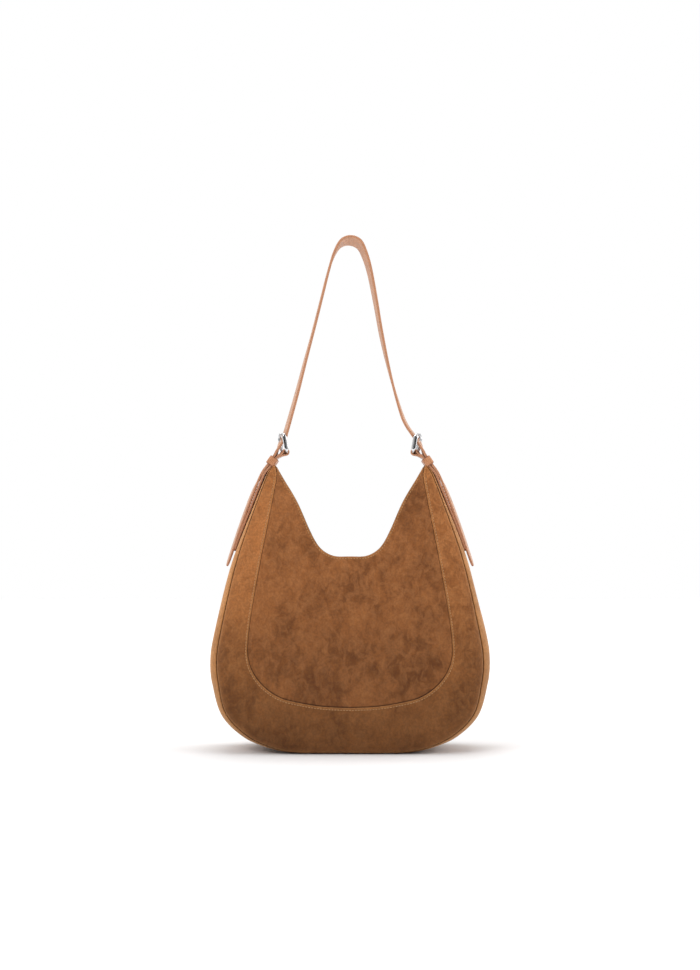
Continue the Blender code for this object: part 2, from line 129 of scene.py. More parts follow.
def ripple(places: Points, scale: float, seed: float) -> Points:
    """Smooth noise between about -1 and 1 at each place.

    Args:
        places: Points in metres.
        scale: The size of a ripple in metres.
        seed: Shifts the pattern.

    Returns:
        One value for each point.
    """
    shift = Vector((seed * 7.31, seed * 3.17, seed * 5.83))
    flat = places.reshape(-1, 3)
    values = [noise.noise(Vector(p) / scale + shift) for p in flat]
    return np.array(values).reshape(places.shape[:-1])


# Meshes

def make_mesh(name: str, verts: Points, faces: Sequence[Sequence[int]], material: bpy.types.Material,
              sharp: float = 60.0) -> bpy.types.Object:
    """An object from points and faces, with its faces turned outwards and shaded smooth.

    Args:
        name: The piece's name.
        verts: One row for each point.
        faces: Point numbers of each face.
        material: The piece's material.
        sharp: Edges that turn by more degrees than this stay crisp.

    Returns:
        The linked object.
    """
    mesh = bpy.data.meshes.new(name)
    mesh.from_pydata([tuple(v) for v in verts], [], [tuple(f) for f in faces])
    bm = bmesh.new()
    bm.from_mesh(mesh)
    bmesh.ops.recalc_face_normals(bm, faces=bm.faces)
    bm.to_mesh(mesh)
    bm.free()
    mesh.shade_smooth()
    mesh.set_sharp_from_angle(angle=math.radians(sharp))
    mesh.materials.clear()
    mesh.materials.append(material)
    item = bpy.data.objects.new(name, mesh)
    bpy.context.scene.collection.objects.link(item)
    return item


def loop_faces(rings: int, around: int, closed: bool) -> list[tuple[int, ...]]:
    """Quads between successive rings of points.

    Args:
        rings: How many rings there are.
        around: How many points each ring has.
        closed: Whether the last ring joins the first.

    Returns:
        Point numbers of each quad.
    """
    faces = []
    for i in range(rings if closed else rings - 1):
        j = (i + 1) % rings
        for k in range(around):
            m = (k + 1) % around
            faces.append((i * around + k, i * around + m, j * around + m, j * around + k))
    return faces


def cap_faces(first: int, around: int) -> list[tuple[int, ...]]:
    """Quads across a ring whose first half faces its second half.

    Args:
        first: The number of the ring's first point.
        around: How many points the ring has, an even number.

    Returns:
        Point numbers of each face.
    """
    last = first + around - 1
    return [(first + k, first + k + 1, last - 1 - k, last - k) for k in range(around // 2 - 1)]


def set_mark(item: bpy.types.Object, mark: str, values: Points) -> None:
    """Store one number for each of a mesh's points, for its material to read.

    Args:
        item: The piece.
        mark: The attribute's name.
        values: One number for each point.
    """
    layer = item.data.attributes.new(mark, "FLOAT", "POINT")
    layer.data.foreach_set("value", np.asarray(values, np.float32).ravel())


def join_pieces(name: str, items: Sequence[bpy.types.Object]) -> bpy.types.Object:
    """Join objects that share one material into a single piece.

    Args:
        name: The joined piece's name.
        items: The objects to join.

    Returns:
        The joined object.
    """
    bm = bmesh.new()
    for item in items:
        bm.from_mesh(item.data)
    mesh = bpy.data.meshes.new(name)
    bm.to_mesh(mesh)
    bm.free()
    material = items[0].data.materials[0]
    for item in items:
        bpy.data.objects.remove(item, do_unlink=True)
    mesh.materials.clear()
    mesh.materials.append(material)
    joined = bpy.data.objects.new(name, mesh)
    bpy.context.scene.collection.objects.link(joined)
    return joined


def subtract(item: bpy.types.Object, cutters: Sequence[bpy.types.Object]) -> None:
    """Cut shapes out of a piece and remove the cutters.

    Args:
        item: The piece to cut.
        cutters: Closed shapes that are taken away from it.
    """
    for cutter in cutters:
        modifier = item.modifiers.new("cut", "BOOLEAN")
        modifier.operation = "DIFFERENCE"
        modifier.solver = "EXACT"
        modifier.object = cutter
    bpy.context.view_layer.update()
    graph = bpy.context.evaluated_depsgraph_get()
    mesh = bpy.data.meshes.new_from_object(item.evaluated_get(graph))
    item.modifiers.clear()
    item.data = mesh
    for cutter in cutters:
        bpy.data.objects.remove(cutter, do_unlink=True)


def attach(item: bpy.types.Object, body: str, slot: str, *nodes: str) -> bpy.types.Object:
    """Make a finished piece ride on a body and stand for its CAD nodes.

    Args:
        item: The finished piece.
        body: The CAD body that it moves with.
        slot: Not used.
        *nodes: CAD nodes that it replaces.

    Returns:
        The piece.
    """
    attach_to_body(item, body)
    if nodes:
        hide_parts(*nodes)
    log.info("%s rides on %s, %d faces", item.name, body, len(item.data.polygons))
    return item


# Shader wiring and shared effects

Value = float | tuple[float, ...] | bpy.types.NodeSocket


class Wiring:
    """Adds nodes to one node tree and links them."""

    def __init__(self, tree: bpy.types.NodeTree) -> None:
        """Keep the tree to wire."""
        self.tree = tree

    def add(self, kind: str, **inputs: Value) -> bpy.types.Node:
        """Add a node and fill its sockets.

        Args:
            kind: The node's type.
            **inputs: Socket names, with underscores for spaces, and a value or a source socket.

        Returns:
            The new node.
        """
        node = self.tree.nodes.new(kind)
        for name, value in inputs.items():
            self.put(node.inputs[name.replace("_", " ")], value)
        return node

    def put(self, socket: bpy.types.NodeSocket, value: Value) -> None:
        """Link a source socket to a socket, or set a plain value on it."""
        if isinstance(value, bpy.types.NodeSocket):
            self.tree.links.new(value, socket)
        else:
            socket.default_value = value

    def math(self, operation: str, a: Value, b: Value = 0.0) -> bpy.types.NodeSocket:
        """One sum of two values.

        Args:
            operation: The Math node's operation.
            a: The first value.
            b: The second value.

        Returns:
            The result's socket.
        """
        node = self.tree.nodes.new("ShaderNodeMath")
        node.operation = operation
        self.put(node.inputs[0], a)
        self.put(node.inputs[1], b)
        return node.outputs[0]

    def spread(self, value: Value, low: float, high: float, start: float = 0.0,
               end: float = 1.0) -> bpy.types.NodeSocket:
        """Stretch a value from one range to another, smoothly and within the ends.

        Args:
            value: What to stretch.
            low: The value that becomes start.
            high: The value that becomes end.
            start: The result at low.
            end: The result at high.

        Returns:
            The result's socket.
        """
        node = self.tree.nodes.new("ShaderNodeMapRange")
        node.interpolation_type = "SMOOTHSTEP"
        for socket, number in zip(node.inputs, (value, low, high, start, end)):
            self.put(socket, number)
        return node.outputs["Result"]

    def mix(self, share: Value, a: Value, b: Value, blend: str = "MIX") -> bpy.types.NodeSocket:
        """Two colours mixed.

        Args:
            share: How much of the second colour shows.
            a: The first colour.
            b: The second colour.
            blend: The blend type.

        Returns:
            The mixed colour's socket.
        """
        node = self.tree.nodes.new("ShaderNodeMix")
        node.data_type = "RGBA"
        node.blend_type = blend
        self.put(node.inputs[0], share)
        self.put(node.inputs[6], a)
        self.put(node.inputs[7], b)
        return node.outputs[2]

    def shade(self, colour: Value, level: Value) -> bpy.types.NodeSocket:
        """A colour made darker or lighter by one number."""
        grey = self.add("ShaderNodeCombineColor", Red=level, Green=level, Blue=level)
        return self.mix(1.0, colour, grey.outputs["Color"], "MULTIPLY")

    def cloud(self, where: Value, scale: Value, detail: float, warp: float = 0.0) -> bpy.types.NodeSocket:
        """Fractal noise over a place.

        Args:
            where: The place.
            scale: Ripples in a metre.
            detail: How many finer layers are added.
            warp: How far the pattern is bent.

        Returns:
            The noise's value, from 0 to 1.
        """
        return self.add("ShaderNodeTexNoise", Vector=where, Scale=scale, Detail=detail,
                        Distortion=warp).outputs["Fac"]

    def place(self, stretch: tuple[float, float, float] = (1.0, 1.0, 1.0)) -> bpy.types.NodeSocket:
        """The surface's place in the piece's own space, stretched along its axes."""
        where = self.add("ShaderNodeTexCoord").outputs["Object"]
        return self.add("ShaderNodeMapping", Vector=where, Scale=stretch).outputs["Vector"]

    def mark(self, name: str) -> bpy.types.NodeSocket:
        """The value of a mark stored on the mesh."""
        node = self.tree.nodes.new("ShaderNodeAttribute")
        node.attribute_name = name
        return node.outputs["Fac"]

    def bump(self, height: Value, distance: float, strength: float = 1.0,
             below: Value | None = None) -> bpy.types.NodeSocket:
        """A normal tilted by a height.

        Args:
            height: The height's mask.
            distance: Metres that a height of one stands for.
            strength: How much of it shows.
            below: A normal from a coarser bump.

        Returns:
            The normal's socket.
        """
        node = self.add("ShaderNodeBump", Height=height, Distance=distance, Strength=strength)
        if below is not None:
            self.put(node.inputs["Normal"], below)
        return node.outputs["Normal"]

    def effect(self, group: bpy.types.NodeTree, **inputs: Value) -> bpy.types.Node:
        """Place a shared effect with its own values."""
        node = self.tree.nodes.new("ShaderNodeGroup")
        node.node_tree = group
        for name, value in inputs.items():
            self.put(node.inputs[name.replace("_", " ")], value)
        return node


def new_effect(name: str, inputs: dict[str, float],
               outputs: Sequence[str]) -> tuple[bpy.types.NodeTree, Wiring, bpy.types.Node, bpy.types.Node]:
    """An empty shader group with named number sockets.

    Args:
        name: The group's name.
        inputs: Input names and their first values.
        outputs: Output names.

    Returns:
        The group, its wiring, its input node and its output node.
    """
    tree = bpy.data.node_groups.new(name, "ShaderNodeTree")
    for socket, value in inputs.items():
        tree.interface.new_socket(socket, in_out="INPUT", socket_type="NodeSocketFloat").default_value = value
    for socket in outputs:
        tree.interface.new_socket(socket, in_out="OUTPUT", socket_type="NodeSocketFloat")
    wiring = Wiring(tree)
    return tree, wiring, wiring.add("NodeGroupInput"), wiring.add("NodeGroupOutput")


class Effects:
    """The node groups that several materials share, each built once."""

    def __init__(self) -> None:
        """Build every group."""
        self.nap = self.make_nap()
        self.grain = self.make_grain()
        self.wear = self.make_wear()
        self.weave = self.make_weave()
        self.smudge = self.make_smudge()

    @staticmethod
    def make_nap() -> bpy.types.NodeTree:
        """Brushed suede: soft patches where the nap lies another way, streaks, flecks and fibres.

        Returns:
            A group with Patch, Streak, Fleck and Height outputs.
        """
        tree, wire, given, result = new_effect(
            "brushed_nap", {"Patch Scale": 20.0, "Fleck Scale": 420.0, "Contrast": 1.0},
            ("Patch", "Streak", "Fleck", "Height"))
        where = wire.place((1.0, 1.0, 0.9))
        broad = wire.cloud(where, given.outputs["Patch Scale"], 3.0, 0.6)
        middle = wire.cloud(where, wire.math("MULTIPLY", given.outputs["Patch Scale"], 3.3), 4.0, 1.2)
        blend = wire.math("ADD", wire.math("MULTIPLY", broad, 0.64), wire.math("MULTIPLY", middle, 0.36))
        half = wire.math("MULTIPLY", given.outputs["Contrast"], 0.15)
        patch = wire.add("ShaderNodeMapRange", Value=blend, From_Min=wire.math("SUBTRACT", 0.5, half),
                         From_Max=wire.math("ADD", 0.5, half))
        patch.interpolation_type = "SMOOTHSTEP"
        swept = wire.place((1.0, 1.0, 0.7))
        streak = wire.spread(wire.cloud(swept, 95.0, 5.0, 1.2), 0.36, 0.68)
        fleck = wire.cloud(where, given.outputs["Fleck Scale"], 4.0, 0.4)
        fibre = wire.cloud(swept, 2600.0, 2.0)
        height = wire.math("ADD", wire.math("MULTIPLY", fleck, 0.65), wire.math("MULTIPLY", fibre, 0.35))
        wire.put(result.inputs["Patch"], patch.outputs["Result"])
        wire.put(result.inputs["Streak"], streak)
        wire.put(result.inputs["Fleck"], wire.spread(fleck, 0.32, 0.70))
        wire.put(result.inputs["Height"], height)
        return tree

    @staticmethod
    def make_grain() -> bpy.types.NodeTree:
        """Leather grain: small rounded cells with creases and pores between them.

        Returns:
            A group with Height and Pores outputs.
        """
        tree, wire, given, result = new_effect("leather_grain", {"Cells": 1100.0, "Roundness": 1.0},
                                               ("Height", "Pores"))
        where = wire.place()
        bent = wire.add("ShaderNodeVectorMath")
        bent.operation = "ADD"
        wire.put(bent.inputs[0], where)
        stray = wire.add("ShaderNodeTexNoise", Vector=where, Scale=700.0, Detail=2.0)
        small = wire.add("ShaderNodeVectorMath")
        small.operation = "SCALE"
        wire.put(small.inputs[0], stray.outputs["Color"])
        small.inputs["Scale"].default_value = 0.0006
        wire.put(bent.inputs[1], small.outputs["Vector"])
        cells = wire.add("ShaderNodeTexVoronoi", Vector=bent.outputs["Vector"],
                         Scale=given.outputs["Cells"])
        cells.feature = "SMOOTH_F1"
        dome = wire.math("SUBTRACT", 1.0, cells.outputs["Distance"])
        pores = wire.spread(wire.cloud(where, 1900.0, 1.0), 0.66, 0.74)
        height = wire.math("SUBTRACT", wire.math("MULTIPLY", dome, given.outputs["Roundness"]),
                           wire.math("MULTIPLY", pores, 0.4))
        wire.put(result.inputs["Height"], height)
        wire.put(result.inputs["Pores"], pores)
        return tree

    @staticmethod
    def make_wear() -> bpy.types.NodeTree:
        """Rubbed edges: an edge mark broken up by handling.

        Returns:
            A group with a Mask output.
        """
        tree, wire, given, result = new_effect("edge_wear", {"Edge": 0.0, "Amount": 0.5}, ("Mask",))
        rubbed = wire.spread(wire.cloud(wire.place(), 240.0, 4.0, 0.8), 0.30, 0.66, 0.35, 1.0)
        mask = wire.math("MULTIPLY", wire.math("MULTIPLY", given.outputs["Edge"], rubbed),
                         given.outputs["Amount"])
        wire.put(result.inputs["Mask"], mask)
        return tree

    @staticmethod
    def make_weave() -> bpy.types.NodeTree:
        """Plain weave: threads that cross over and under each other.

        Returns:
            A group with Height and Warp outputs.
        """
        tree, wire, given, result = new_effect("plain_weave", {"Threads": 1500.0, "Slub": 0.3},
                                               ("Height", "Warp"))
        where = wire.add("ShaderNodeSeparateXYZ", Vector=wire.place())
        turns = wire.math("MULTIPLY", given.outputs["Threads"], math.pi)
        across = wire.math("ADD", where.outputs["X"], wire.math("MULTIPLY", where.outputs["Y"], 0.7))
        along = wire.math("ADD", where.outputs["Z"], wire.math("MULTIPLY", where.outputs["Y"], 0.7))
        warp = wire.math("SINE", wire.math("MULTIPLY", across, turns))
        weft = wire.math("SINE", wire.math("MULTIPLY", along, turns))
        product = wire.math("MULTIPLY", warp, weft)
        slub = wire.math("MULTIPLY", wire.cloud(wire.place((1.0, 1.0, 0.15)), 900.0, 2.0),
                         given.outputs["Slub"])
        wire.put(result.inputs["Height"], wire.math("ADD", wire.math("ABSOLUTE", product), slub))
        wire.put(result.inputs["Warp"], wire.spread(product, -0.6, 0.6))
        return tree

    @staticmethod
    def make_smudge() -> bpy.types.NodeTree:
        """Finger marks and fine dust, broad and soft.

        Returns:
            A group with a Mask output.
        """
        tree, wire, given, result = new_effect("smudge", {"Scale": 90.0}, ("Mask",))
        soft = wire.cloud(wire.place(), given.outputs["Scale"], 3.0, 1.5)
        wire.put(result.inputs["Mask"], wire.spread(soft, 0.34, 0.72))
        return tree


# Finishes

Colour = tuple[float, float, float]


def rgba(colour: Colour) -> tuple[float, float, float, float]:
    """A linear colour with full alpha."""
    return (*colour, 1.0)


def blank_material(name: str) -> tuple[bpy.types.Material, Wiring, bpy.types.Node]:
    """A node material with a Principled shader.

    Args:
        name: The material's name.

    Returns:
        The material, its wiring and its shader.
    """
    material = bpy.data.materials.new(name)
    material.use_nodes = True
    return material, Wiring(material.node_tree), material.node_tree.nodes["Principled BSDF"]


def set_shader(shader: bpy.types.Node, **values: Value) -> None:
    """Set plain values on a shader's own sockets, by names with underscores for spaces."""
    for name, value in values.items():
        shader.inputs[name.replace("_", " ")].default_value = value


@dataclass(frozen=True)
class SuedeFinish:
    """Brushed suede with a mottled nap; its tone is scaled by height from low to high as (height, share):
    painted shade towards the bottom and painted light towards the top.
    """

    name: str
    deep: Colour
    mid: Colour
    light: Colour
    rubbed: Colour
    patch_scale: float = 20.0
    sheen: float = 0.25
    # Painted shade and light by height: the tone's share at the bottom and at the top of the fade.
    low: Pair = (0.0, 1.0)
    high: Pair = (0.3, 1.0)

    def build(self, effects: Effects) -> bpy.types.Material:
        """Make the material.

        Args:
            effects: The shared node groups.

        Returns:
            The material.
        """
        material, wire, shader = blank_material(self.name)
        nap = wire.effect(effects.nap, Patch_Scale=self.patch_scale)
        tone = wire.mix(nap.outputs["Patch"], rgba(self.deep), rgba(self.mid))
        streak = wire.math("MULTIPLY", nap.outputs["Streak"], 0.42)
        tone = wire.mix(streak, tone, rgba(self.light))
        speck = wire.math("MULTIPLY", wire.math("SUBTRACT", nap.outputs["Fleck"], 0.5), 0.30)
        # Painted shade and light: the tone is darker low down and lighter high up, for light that falls from
        # above.
        rise = wire.add("ShaderNodeSeparateXYZ", Vector=wire.place()).outputs["Z"]
        rise = wire.spread(rise, self.low[0], self.high[0], self.low[1], self.high[1])
        tone = wire.shade(tone, wire.math("MULTIPLY", wire.math("ADD", 1.0, speck), rise))
        worn = wire.effect(effects.wear, Edge=wire.mark("fold"), Amount=0.75)
        tone = wire.mix(worn.outputs["Mask"], tone, rgba(self.rubbed))
        # Painted shade: the tone is darkened in the seam grooves, along the stitch lines and at the gusset's
        # joint.
        tone = wire.shade(tone, wire.spread(wire.mark("seam_shade"), 0.0, 1.0, 1.0, 0.30))
        wire.put(shader.inputs["Base Color"], tone)
        broad = wire.bump(nap.outputs["Streak"], 0.0005, 0.35)
        wire.put(shader.inputs["Normal"], wire.bump(nap.outputs["Height"], 0.0006, 0.7, broad))
        wire.put(shader.inputs["Roughness"], wire.spread(nap.outputs["Fleck"], 0.0, 1.0, 0.84, 0.98))
        set_shader(shader, Specular_IOR_Level=0.22, Diffuse_Roughness=0.9, Sheen_Weight=self.sheen,
                   Sheen_Roughness=0.45, Sheen_Tint=rgba((1.0, 0.72, 0.45)))
        return material


@dataclass(frozen=True)
class LeatherFinish:
    """Smooth vegetable-tanned leather with painted edges."""

    name: str
    base: Colour
    pale: Colour
    edge: Colour
    roughness: float = 0.42
    cells: float = 1100.0

    def build(self, effects: Effects) -> bpy.types.Material:
        """Make the material.

        Args:
            effects: The shared node groups.

        Returns:
            The material.
        """
        material, wire, shader = blank_material(self.name)
        grain = wire.effect(effects.grain, Cells=self.cells)
        haze = wire.effect(effects.smudge, Scale=38.0)
        tone = wire.mix(haze.outputs["Mask"], rgba(self.base), rgba(self.pale))
        pores = wire.math("MULTIPLY", grain.outputs["Pores"], 0.06)
        tone = wire.mix(pores, tone, rgba(self.edge))
        painted = wire.spread(wire.mark("edge"), 0.25, 0.75)
        wire.put(shader.inputs["Base Color"], wire.mix(painted, tone, rgba(self.edge)))
        gloss = wire.spread(haze.outputs["Mask"], 0.0, 1.0, self.roughness - 0.03, self.roughness + 0.08)
        wire.put(shader.inputs["Roughness"], gloss)
        wire.put(shader.inputs["Normal"], wire.bump(grain.outputs["Height"], 0.00005, 0.3))
        set_shader(shader, Specular_IOR_Level=0.45, Sheen_Weight=0.05, Sheen_Roughness=0.4)
        return material


@dataclass(frozen=True)
class SteelFinish:
    """Polished steel with faint handling marks."""

    name: str
    base: Colour
    roughness: float = 0.07

    def build(self, effects: Effects) -> bpy.types.Material:
        """Make the material.

        Args:
            effects: The shared node groups.

        Returns:
            The material.
        """
        material, wire, shader = blank_material(self.name)
        haze = wire.effect(effects.smudge, Scale=260.0)
        scuffs = wire.cloud(wire.place((1.0, 0.06, 1.0)), 5200.0, 2.0)
        blur = wire.math("ADD", wire.spread(haze.outputs["Mask"], 0.0, 1.0, self.roughness,
                                            self.roughness + 0.10),
                         wire.spread(scuffs, 0.55, 0.75, 0.0, 0.08))
        wire.put(shader.inputs["Roughness"], blur)
        dull = tuple(part * 0.86 for part in self.base)
        wire.put(shader.inputs["Base Color"], wire.mix(haze.outputs["Mask"], rgba(self.base), rgba(dull)))
        wire.put(shader.inputs["Normal"], wire.bump(scuffs, 0.00004, 0.25))
        set_shader(shader, Metallic=1.0)
        return material


@dataclass(frozen=True)
class ClothFinish:
    """Woven cloth: lining, zip tape or sewing thread."""

    name: str
    warp: Colour
    weft: Colour
    threads: float = 1500.0
    relief: float = 0.00018
    sheen: float = 0.1

    def build(self, effects: Effects) -> bpy.types.Material:
        """Make the material.

        Args:
            effects: The shared node groups.

        Returns:
            The material.
        """
        material, wire, shader = blank_material(self.name)
        weave = wire.effect(effects.weave, Threads=self.threads)
        haze = wire.effect(effects.smudge, Scale=35.0)
        tone = wire.mix(weave.outputs["Warp"], rgba(self.weft), rgba(self.warp))
        tone = wire.mix(wire.math("MULTIPLY", haze.outputs["Mask"], 0.22), tone, rgba(self.weft))
        wire.put(shader.inputs["Base Color"], tone)
        wire.put(shader.inputs["Normal"], wire.bump(weave.outputs["Height"], self.relief, 0.8))
        wire.put(shader.inputs["Roughness"], wire.spread(haze.outputs["Mask"], 0.0, 1.0, 0.72, 0.88))
        set_shader(shader, Specular_IOR_Level=0.25, Sheen_Weight=self.sheen, Sheen_Roughness=0.5)
        return material


@dataclass(frozen=True)
class BoardFinish:
    """Pressed fibre board."""

    name: str
    base: Colour
    fleck: Colour

    def build(self, effects: Effects) -> bpy.types.Material:
        """Make the material.

        Args:
            effects: The shared node groups.

        Returns:
            The material.
        """
        material, wire, shader = blank_material(self.name)
        fibres = wire.cloud(wire.place((1.0, 0.3, 1.0)), 900.0, 5.0, 1.0)
        haze = wire.effect(effects.smudge, Scale=60.0)
        wire.put(shader.inputs["Base Color"], wire.mix(fibres, rgba(self.base), rgba(self.fleck)))
        wire.put(shader.inputs["Roughness"], wire.spread(haze.outputs["Mask"], 0.0, 1.0, 0.70, 0.86))
        wire.put(shader.inputs["Normal"], wire.bump(fibres, 0.0002, 0.6))
        return material


class Finishes:
    """Every material of the bag."""

    def __init__(self) -> None:
        """Build the shared effects and then each material."""
        effects = Effects()
        rubbed = (0.54, 0.245, 0.082)
        # The centre, band and gusset are one suede: the band and gusset copies are lighter and more orange than
        # the centre, painted light for the side light that falls on them.
        self.centre = SuedeFinish("suede_centre", (0.160, 0.053, 0.0140), (0.315, 0.116, 0.034),
                                  (0.410, 0.170, 0.060), rubbed, 15.0, 0.22, (0.06, 0.86),
                                  (0.24, 1.12)).build(effects)
        self.band = SuedeFinish("suede_band", (0.225, 0.078, 0.021), (0.385, 0.146, 0.042),
                                (0.47, 0.198, 0.066), rubbed, 15.0, 0.25, (0.0, 0.56),
                                (0.28, 1.22)).build(effects)
        self.gusset = SuedeFinish("suede_gusset", (0.330, 0.123, 0.033), (0.47, 0.195, 0.058),
                                  (0.56, 0.262, 0.090), rubbed, 14.0, 0.4, (0.0, 0.72),
                                  (0.20, 1.05)).build(effects)
        self.facing = SuedeFinish("suede_facing", (0.205, 0.076, 0.021), (0.29, 0.115, 0.035),
                                  (0.34, 0.145, 0.050), rubbed, 17.0).build(effects)
        self.strap = LeatherFinish("strap_leather", (0.50, 0.255, 0.140), (0.56, 0.305, 0.180),
                                   (0.47, 0.215, 0.112)).build(effects)
        self.keeper = LeatherFinish("keeper_leather", (0.44, 0.180, 0.078), (0.52, 0.235, 0.112),
                                    (0.30, 0.110, 0.045)).build(effects)
        self.steel = SteelFinish("polished_steel", (0.72, 0.72, 0.73)).build(effects)
        self.thread = ClothFinish("sewing_thread", (0.55, 0.30, 0.128), (0.43, 0.215, 0.082), 3200.0,
                                  0.00008, 0.2).build(effects)
        self.lining = ClothFinish("lining_cloth", (0.235, 0.150, 0.092), (0.165, 0.100, 0.058)).build(effects)
        self.tape = ClothFinish("zip_tape_cloth", (0.120, 0.066, 0.036), (0.080, 0.043, 0.024), 2100.0,
                                0.00014).build(effects)
        self.board = BoardFinish("fibre_board", (0.105, 0.072, 0.050), (0.165, 0.118, 0.080)).build(effects)


# The body's surfaces

MM = 0.001
SUEDE = 1.8 * MM
LINING = 1.0 * MM
GAP = 0.3 * MM


@dataclass
class BodyShape:
    """The bag's outlines and depths, from the middle of the base or the mouth out to one ear."""

    seam_points: Sequence[Pair] = (
        (0.0, 0.0), (0.030, 0.0), (0.055, 0.0), (0.090, 0.0045), (0.126, 0.0205), (0.1535, 0.048),
        (0.1634, 0.0865), (0.1657, 0.1163), (0.1618, 0.1467), (0.1477, 0.2157), (0.137, 0.2559),
        (0.1205, 0.305), (0.1055, 0.347), (0.0993, 0.3572))
    panel_points: Sequence[Pair] = (
        (0.0, 0.0574), (0.034, 0.0590), (0.064, 0.0638), (0.0868, 0.070), (0.1065, 0.0832),
        (0.1199, 0.1003), (0.1262, 0.1181), (0.1267, 0.138), (0.1225, 0.175), (0.111, 0.244),
        (0.0975, 0.3178), (0.0935, 0.345), (0.0953, 0.3590))
    mouth_points: Sequence[Pair] = (
        (0.0, 0.2436), (0.019, 0.244), (0.0325, 0.2497), (0.0425, 0.260), (0.0525, 0.279),
        (0.068, 0.314), (0.086, 0.3445), (0.0933, 0.3572))
    stations: int = 20
    fineness: int = 24
    band_share: float = 0.25
    dome: float = 0.022
    mouth_half_gap: float = 0.022
    ear_half_gap: float = 0.0125
    seam_depth_z: Sequence[float] = (0.0, 0.10, 0.20, 0.30, 0.355)
    seam_depth: Sequence[float] = (0.050, 0.052, 0.0435, 0.0265, 0.0145)
    bulge_z: Sequence[float] = (0.0, 0.0045, 0.02, 0.05, 0.09, 0.15, 0.22, 0.305, 0.355)
    bulge: Sequence[float] = (0.0, 0.003, 0.007, 0.009, 0.011, 0.0098, 0.0072, 0.0035, 0.0015)
    sag: float = 1.1 * MM
    pucker: float = 0.30 * MM

    def __post_init__(self) -> None:
        """Work out the three outlines."""
        self.last = 2 * self.stations
        self.seam = self.outline(self.seam_points)
        self.join = self.outline(self.panel_points)
        self.mouth = self.outline(self.mouth_points)

    def outline(self, half: Sequence[Pair]) -> Points:
        """An outline from the left ear through the middle to the right ear."""
        right = smooth_line(half, self.stations * self.fineness)
        right[:, 1] = np.maximum(right[:, 1], 0.0)
        return np.vstack([(right * (-1.0, 1.0))[:0:-1], right])

    def at(self, line: Points, u: Points) -> Points:
        """Places on an outline at stations u, as (x, z)."""
        steps = np.arange(len(line)) / self.fineness
        return np.stack([np.interp(u, steps, line[:, k]) for k in (0, 1)], axis=-1)

    def inward(self, u: Points) -> Points:
        """The seam's normal towards the inside, as (x, z)."""
        along = (self.at(self.seam, np.minimum(u + 0.5, self.last))
                 - self.at(self.seam, np.maximum(u - 0.5, 0.0)))
        return unit(np.stack([-along[..., 1], along[..., 0]], axis=-1))

    def middle_share(self, u: Points) -> Points:
        """One at the bag's middle, falling to nothing at the ears."""
        return np.maximum(np.cos(math.pi / 2 * (u / self.stations - 1.0)), 0.0)

    def panel(self, u: Points, r: Points, depth: Points, face: Face) -> Points:
        """Places on a panel.

        Args:
            u: Stations from the left ear to the right one.
            r: From 0 at the gusset seam to 1 at the mouth.
            depth: Metres into the wall from its outer surface.
            face: The front or the back panel.

        Returns:
            Points in metres.
        """
        u, r, depth = np.broadcast_arrays(u, r, depth)
        seam, join, mouth = (self.at(line, u) for line in (self.seam, self.join, self.mouth))
        band = np.clip(r / self.band_share, None, 1.0)[..., None]
        centre = np.clip((r - self.band_share) / (1.0 - self.band_share), 0.0, None)[..., None]
        spot = seam + (join - seam) * band + (mouth - join) * centre
        spot = spot + self.inward(u) * (depth * (1.0 - r))[..., None]
        share = self.middle_share(u)
        edge = self.ear_half_gap + (self.mouth_half_gap - self.ear_half_gap) * share
        safe = np.clip(r, 0.0, 1.0)
        y = np.interp(seam[..., 1], self.seam_depth_z, self.seam_depth) * (1.0 - r) + edge * r
        y = y + self.dome * share ** 0.8 * np.sin(math.pi * safe ** 0.6) - depth
        place = np.stack([spot[..., 0], face.value * y, spot[..., 1]], axis=-1)
        flat = place * (1.0, 0.0, 1.0)
        fade = np.sin(math.pi * np.clip(safe * 0.9, 0.0, 1.0)) ** 0.7 * np.minimum(1.0, share * 1.6)
        wave = self.sag * ripple(flat, 0.075, face.value * 2.0 + 4.0)
        wave += self.pucker * ripple(flat * (1.0, 1.0, 1.7), 0.022, face.value + 9.0)
        place[..., 1] += face.value * wave * fade
        return place

    def gusset(self, u: Points, t: Points, depth: Points) -> Points:
        """Places on the gusset.

        Args:
            u: Stations from the left ear to the right one.
            t: From -1 at the front seam to 1 at the back seam.
            depth: Metres into the wall from its outer surface.

        Returns:
            Points in metres.
        """
        u, t, depth = np.broadcast_arrays(u, t, depth)
        seam = self.at(self.seam, u)
        half = np.interp(seam[..., 1], self.seam_depth_z, self.seam_depth) - depth
        swell = np.interp(seam[..., 1], self.bulge_z, self.bulge) * (1.0 - t ** 4)
        rough = np.stack([seam[..., 0], t * half, seam[..., 1]], axis=-1)
        calm = np.clip((seam[..., 1] - 0.02) / 0.05, 0.0, 1.0) * (1.0 - t ** 4)
        swell = swell + 0.9 * MM * ripple(rough, 0.06, 21.0) * calm
        spot = seam + self.inward(u) * (depth - swell)[..., None]
        return np.stack([spot[..., 0], t * half, spot[..., 1]], axis=-1)


def spaced(length: Points, start: Sequence[float], middle: int, end: Sequence[float]) -> Points:
    """Distances across a strip, close together at its seams.

    Args:
        length: The strip's width at each station.
        start: Wanted distances from the first seam.
        middle: How many even rows lie between.
        end: Wanted distances from the second seam.

    Returns:
        One row of distances for each station.
    """
    room = 0.42 * length
    first = np.array(start)[None, :] * np.minimum(1.0, room / max(start))[:, None]
    final = np.array(end)[None, :] * np.minimum(1.0, room / max(end))[:, None]
    share = np.linspace(0.0, 1.0, middle + 2)[None, 1:-1]
    low, high = first.max(axis=1)[:, None], (length - final.max(axis=1))[:, None]
    final = length[:, None] - np.sort(final, axis=1)[:, ::-1]
    return np.hstack([first, low + (high - low) * share, final])


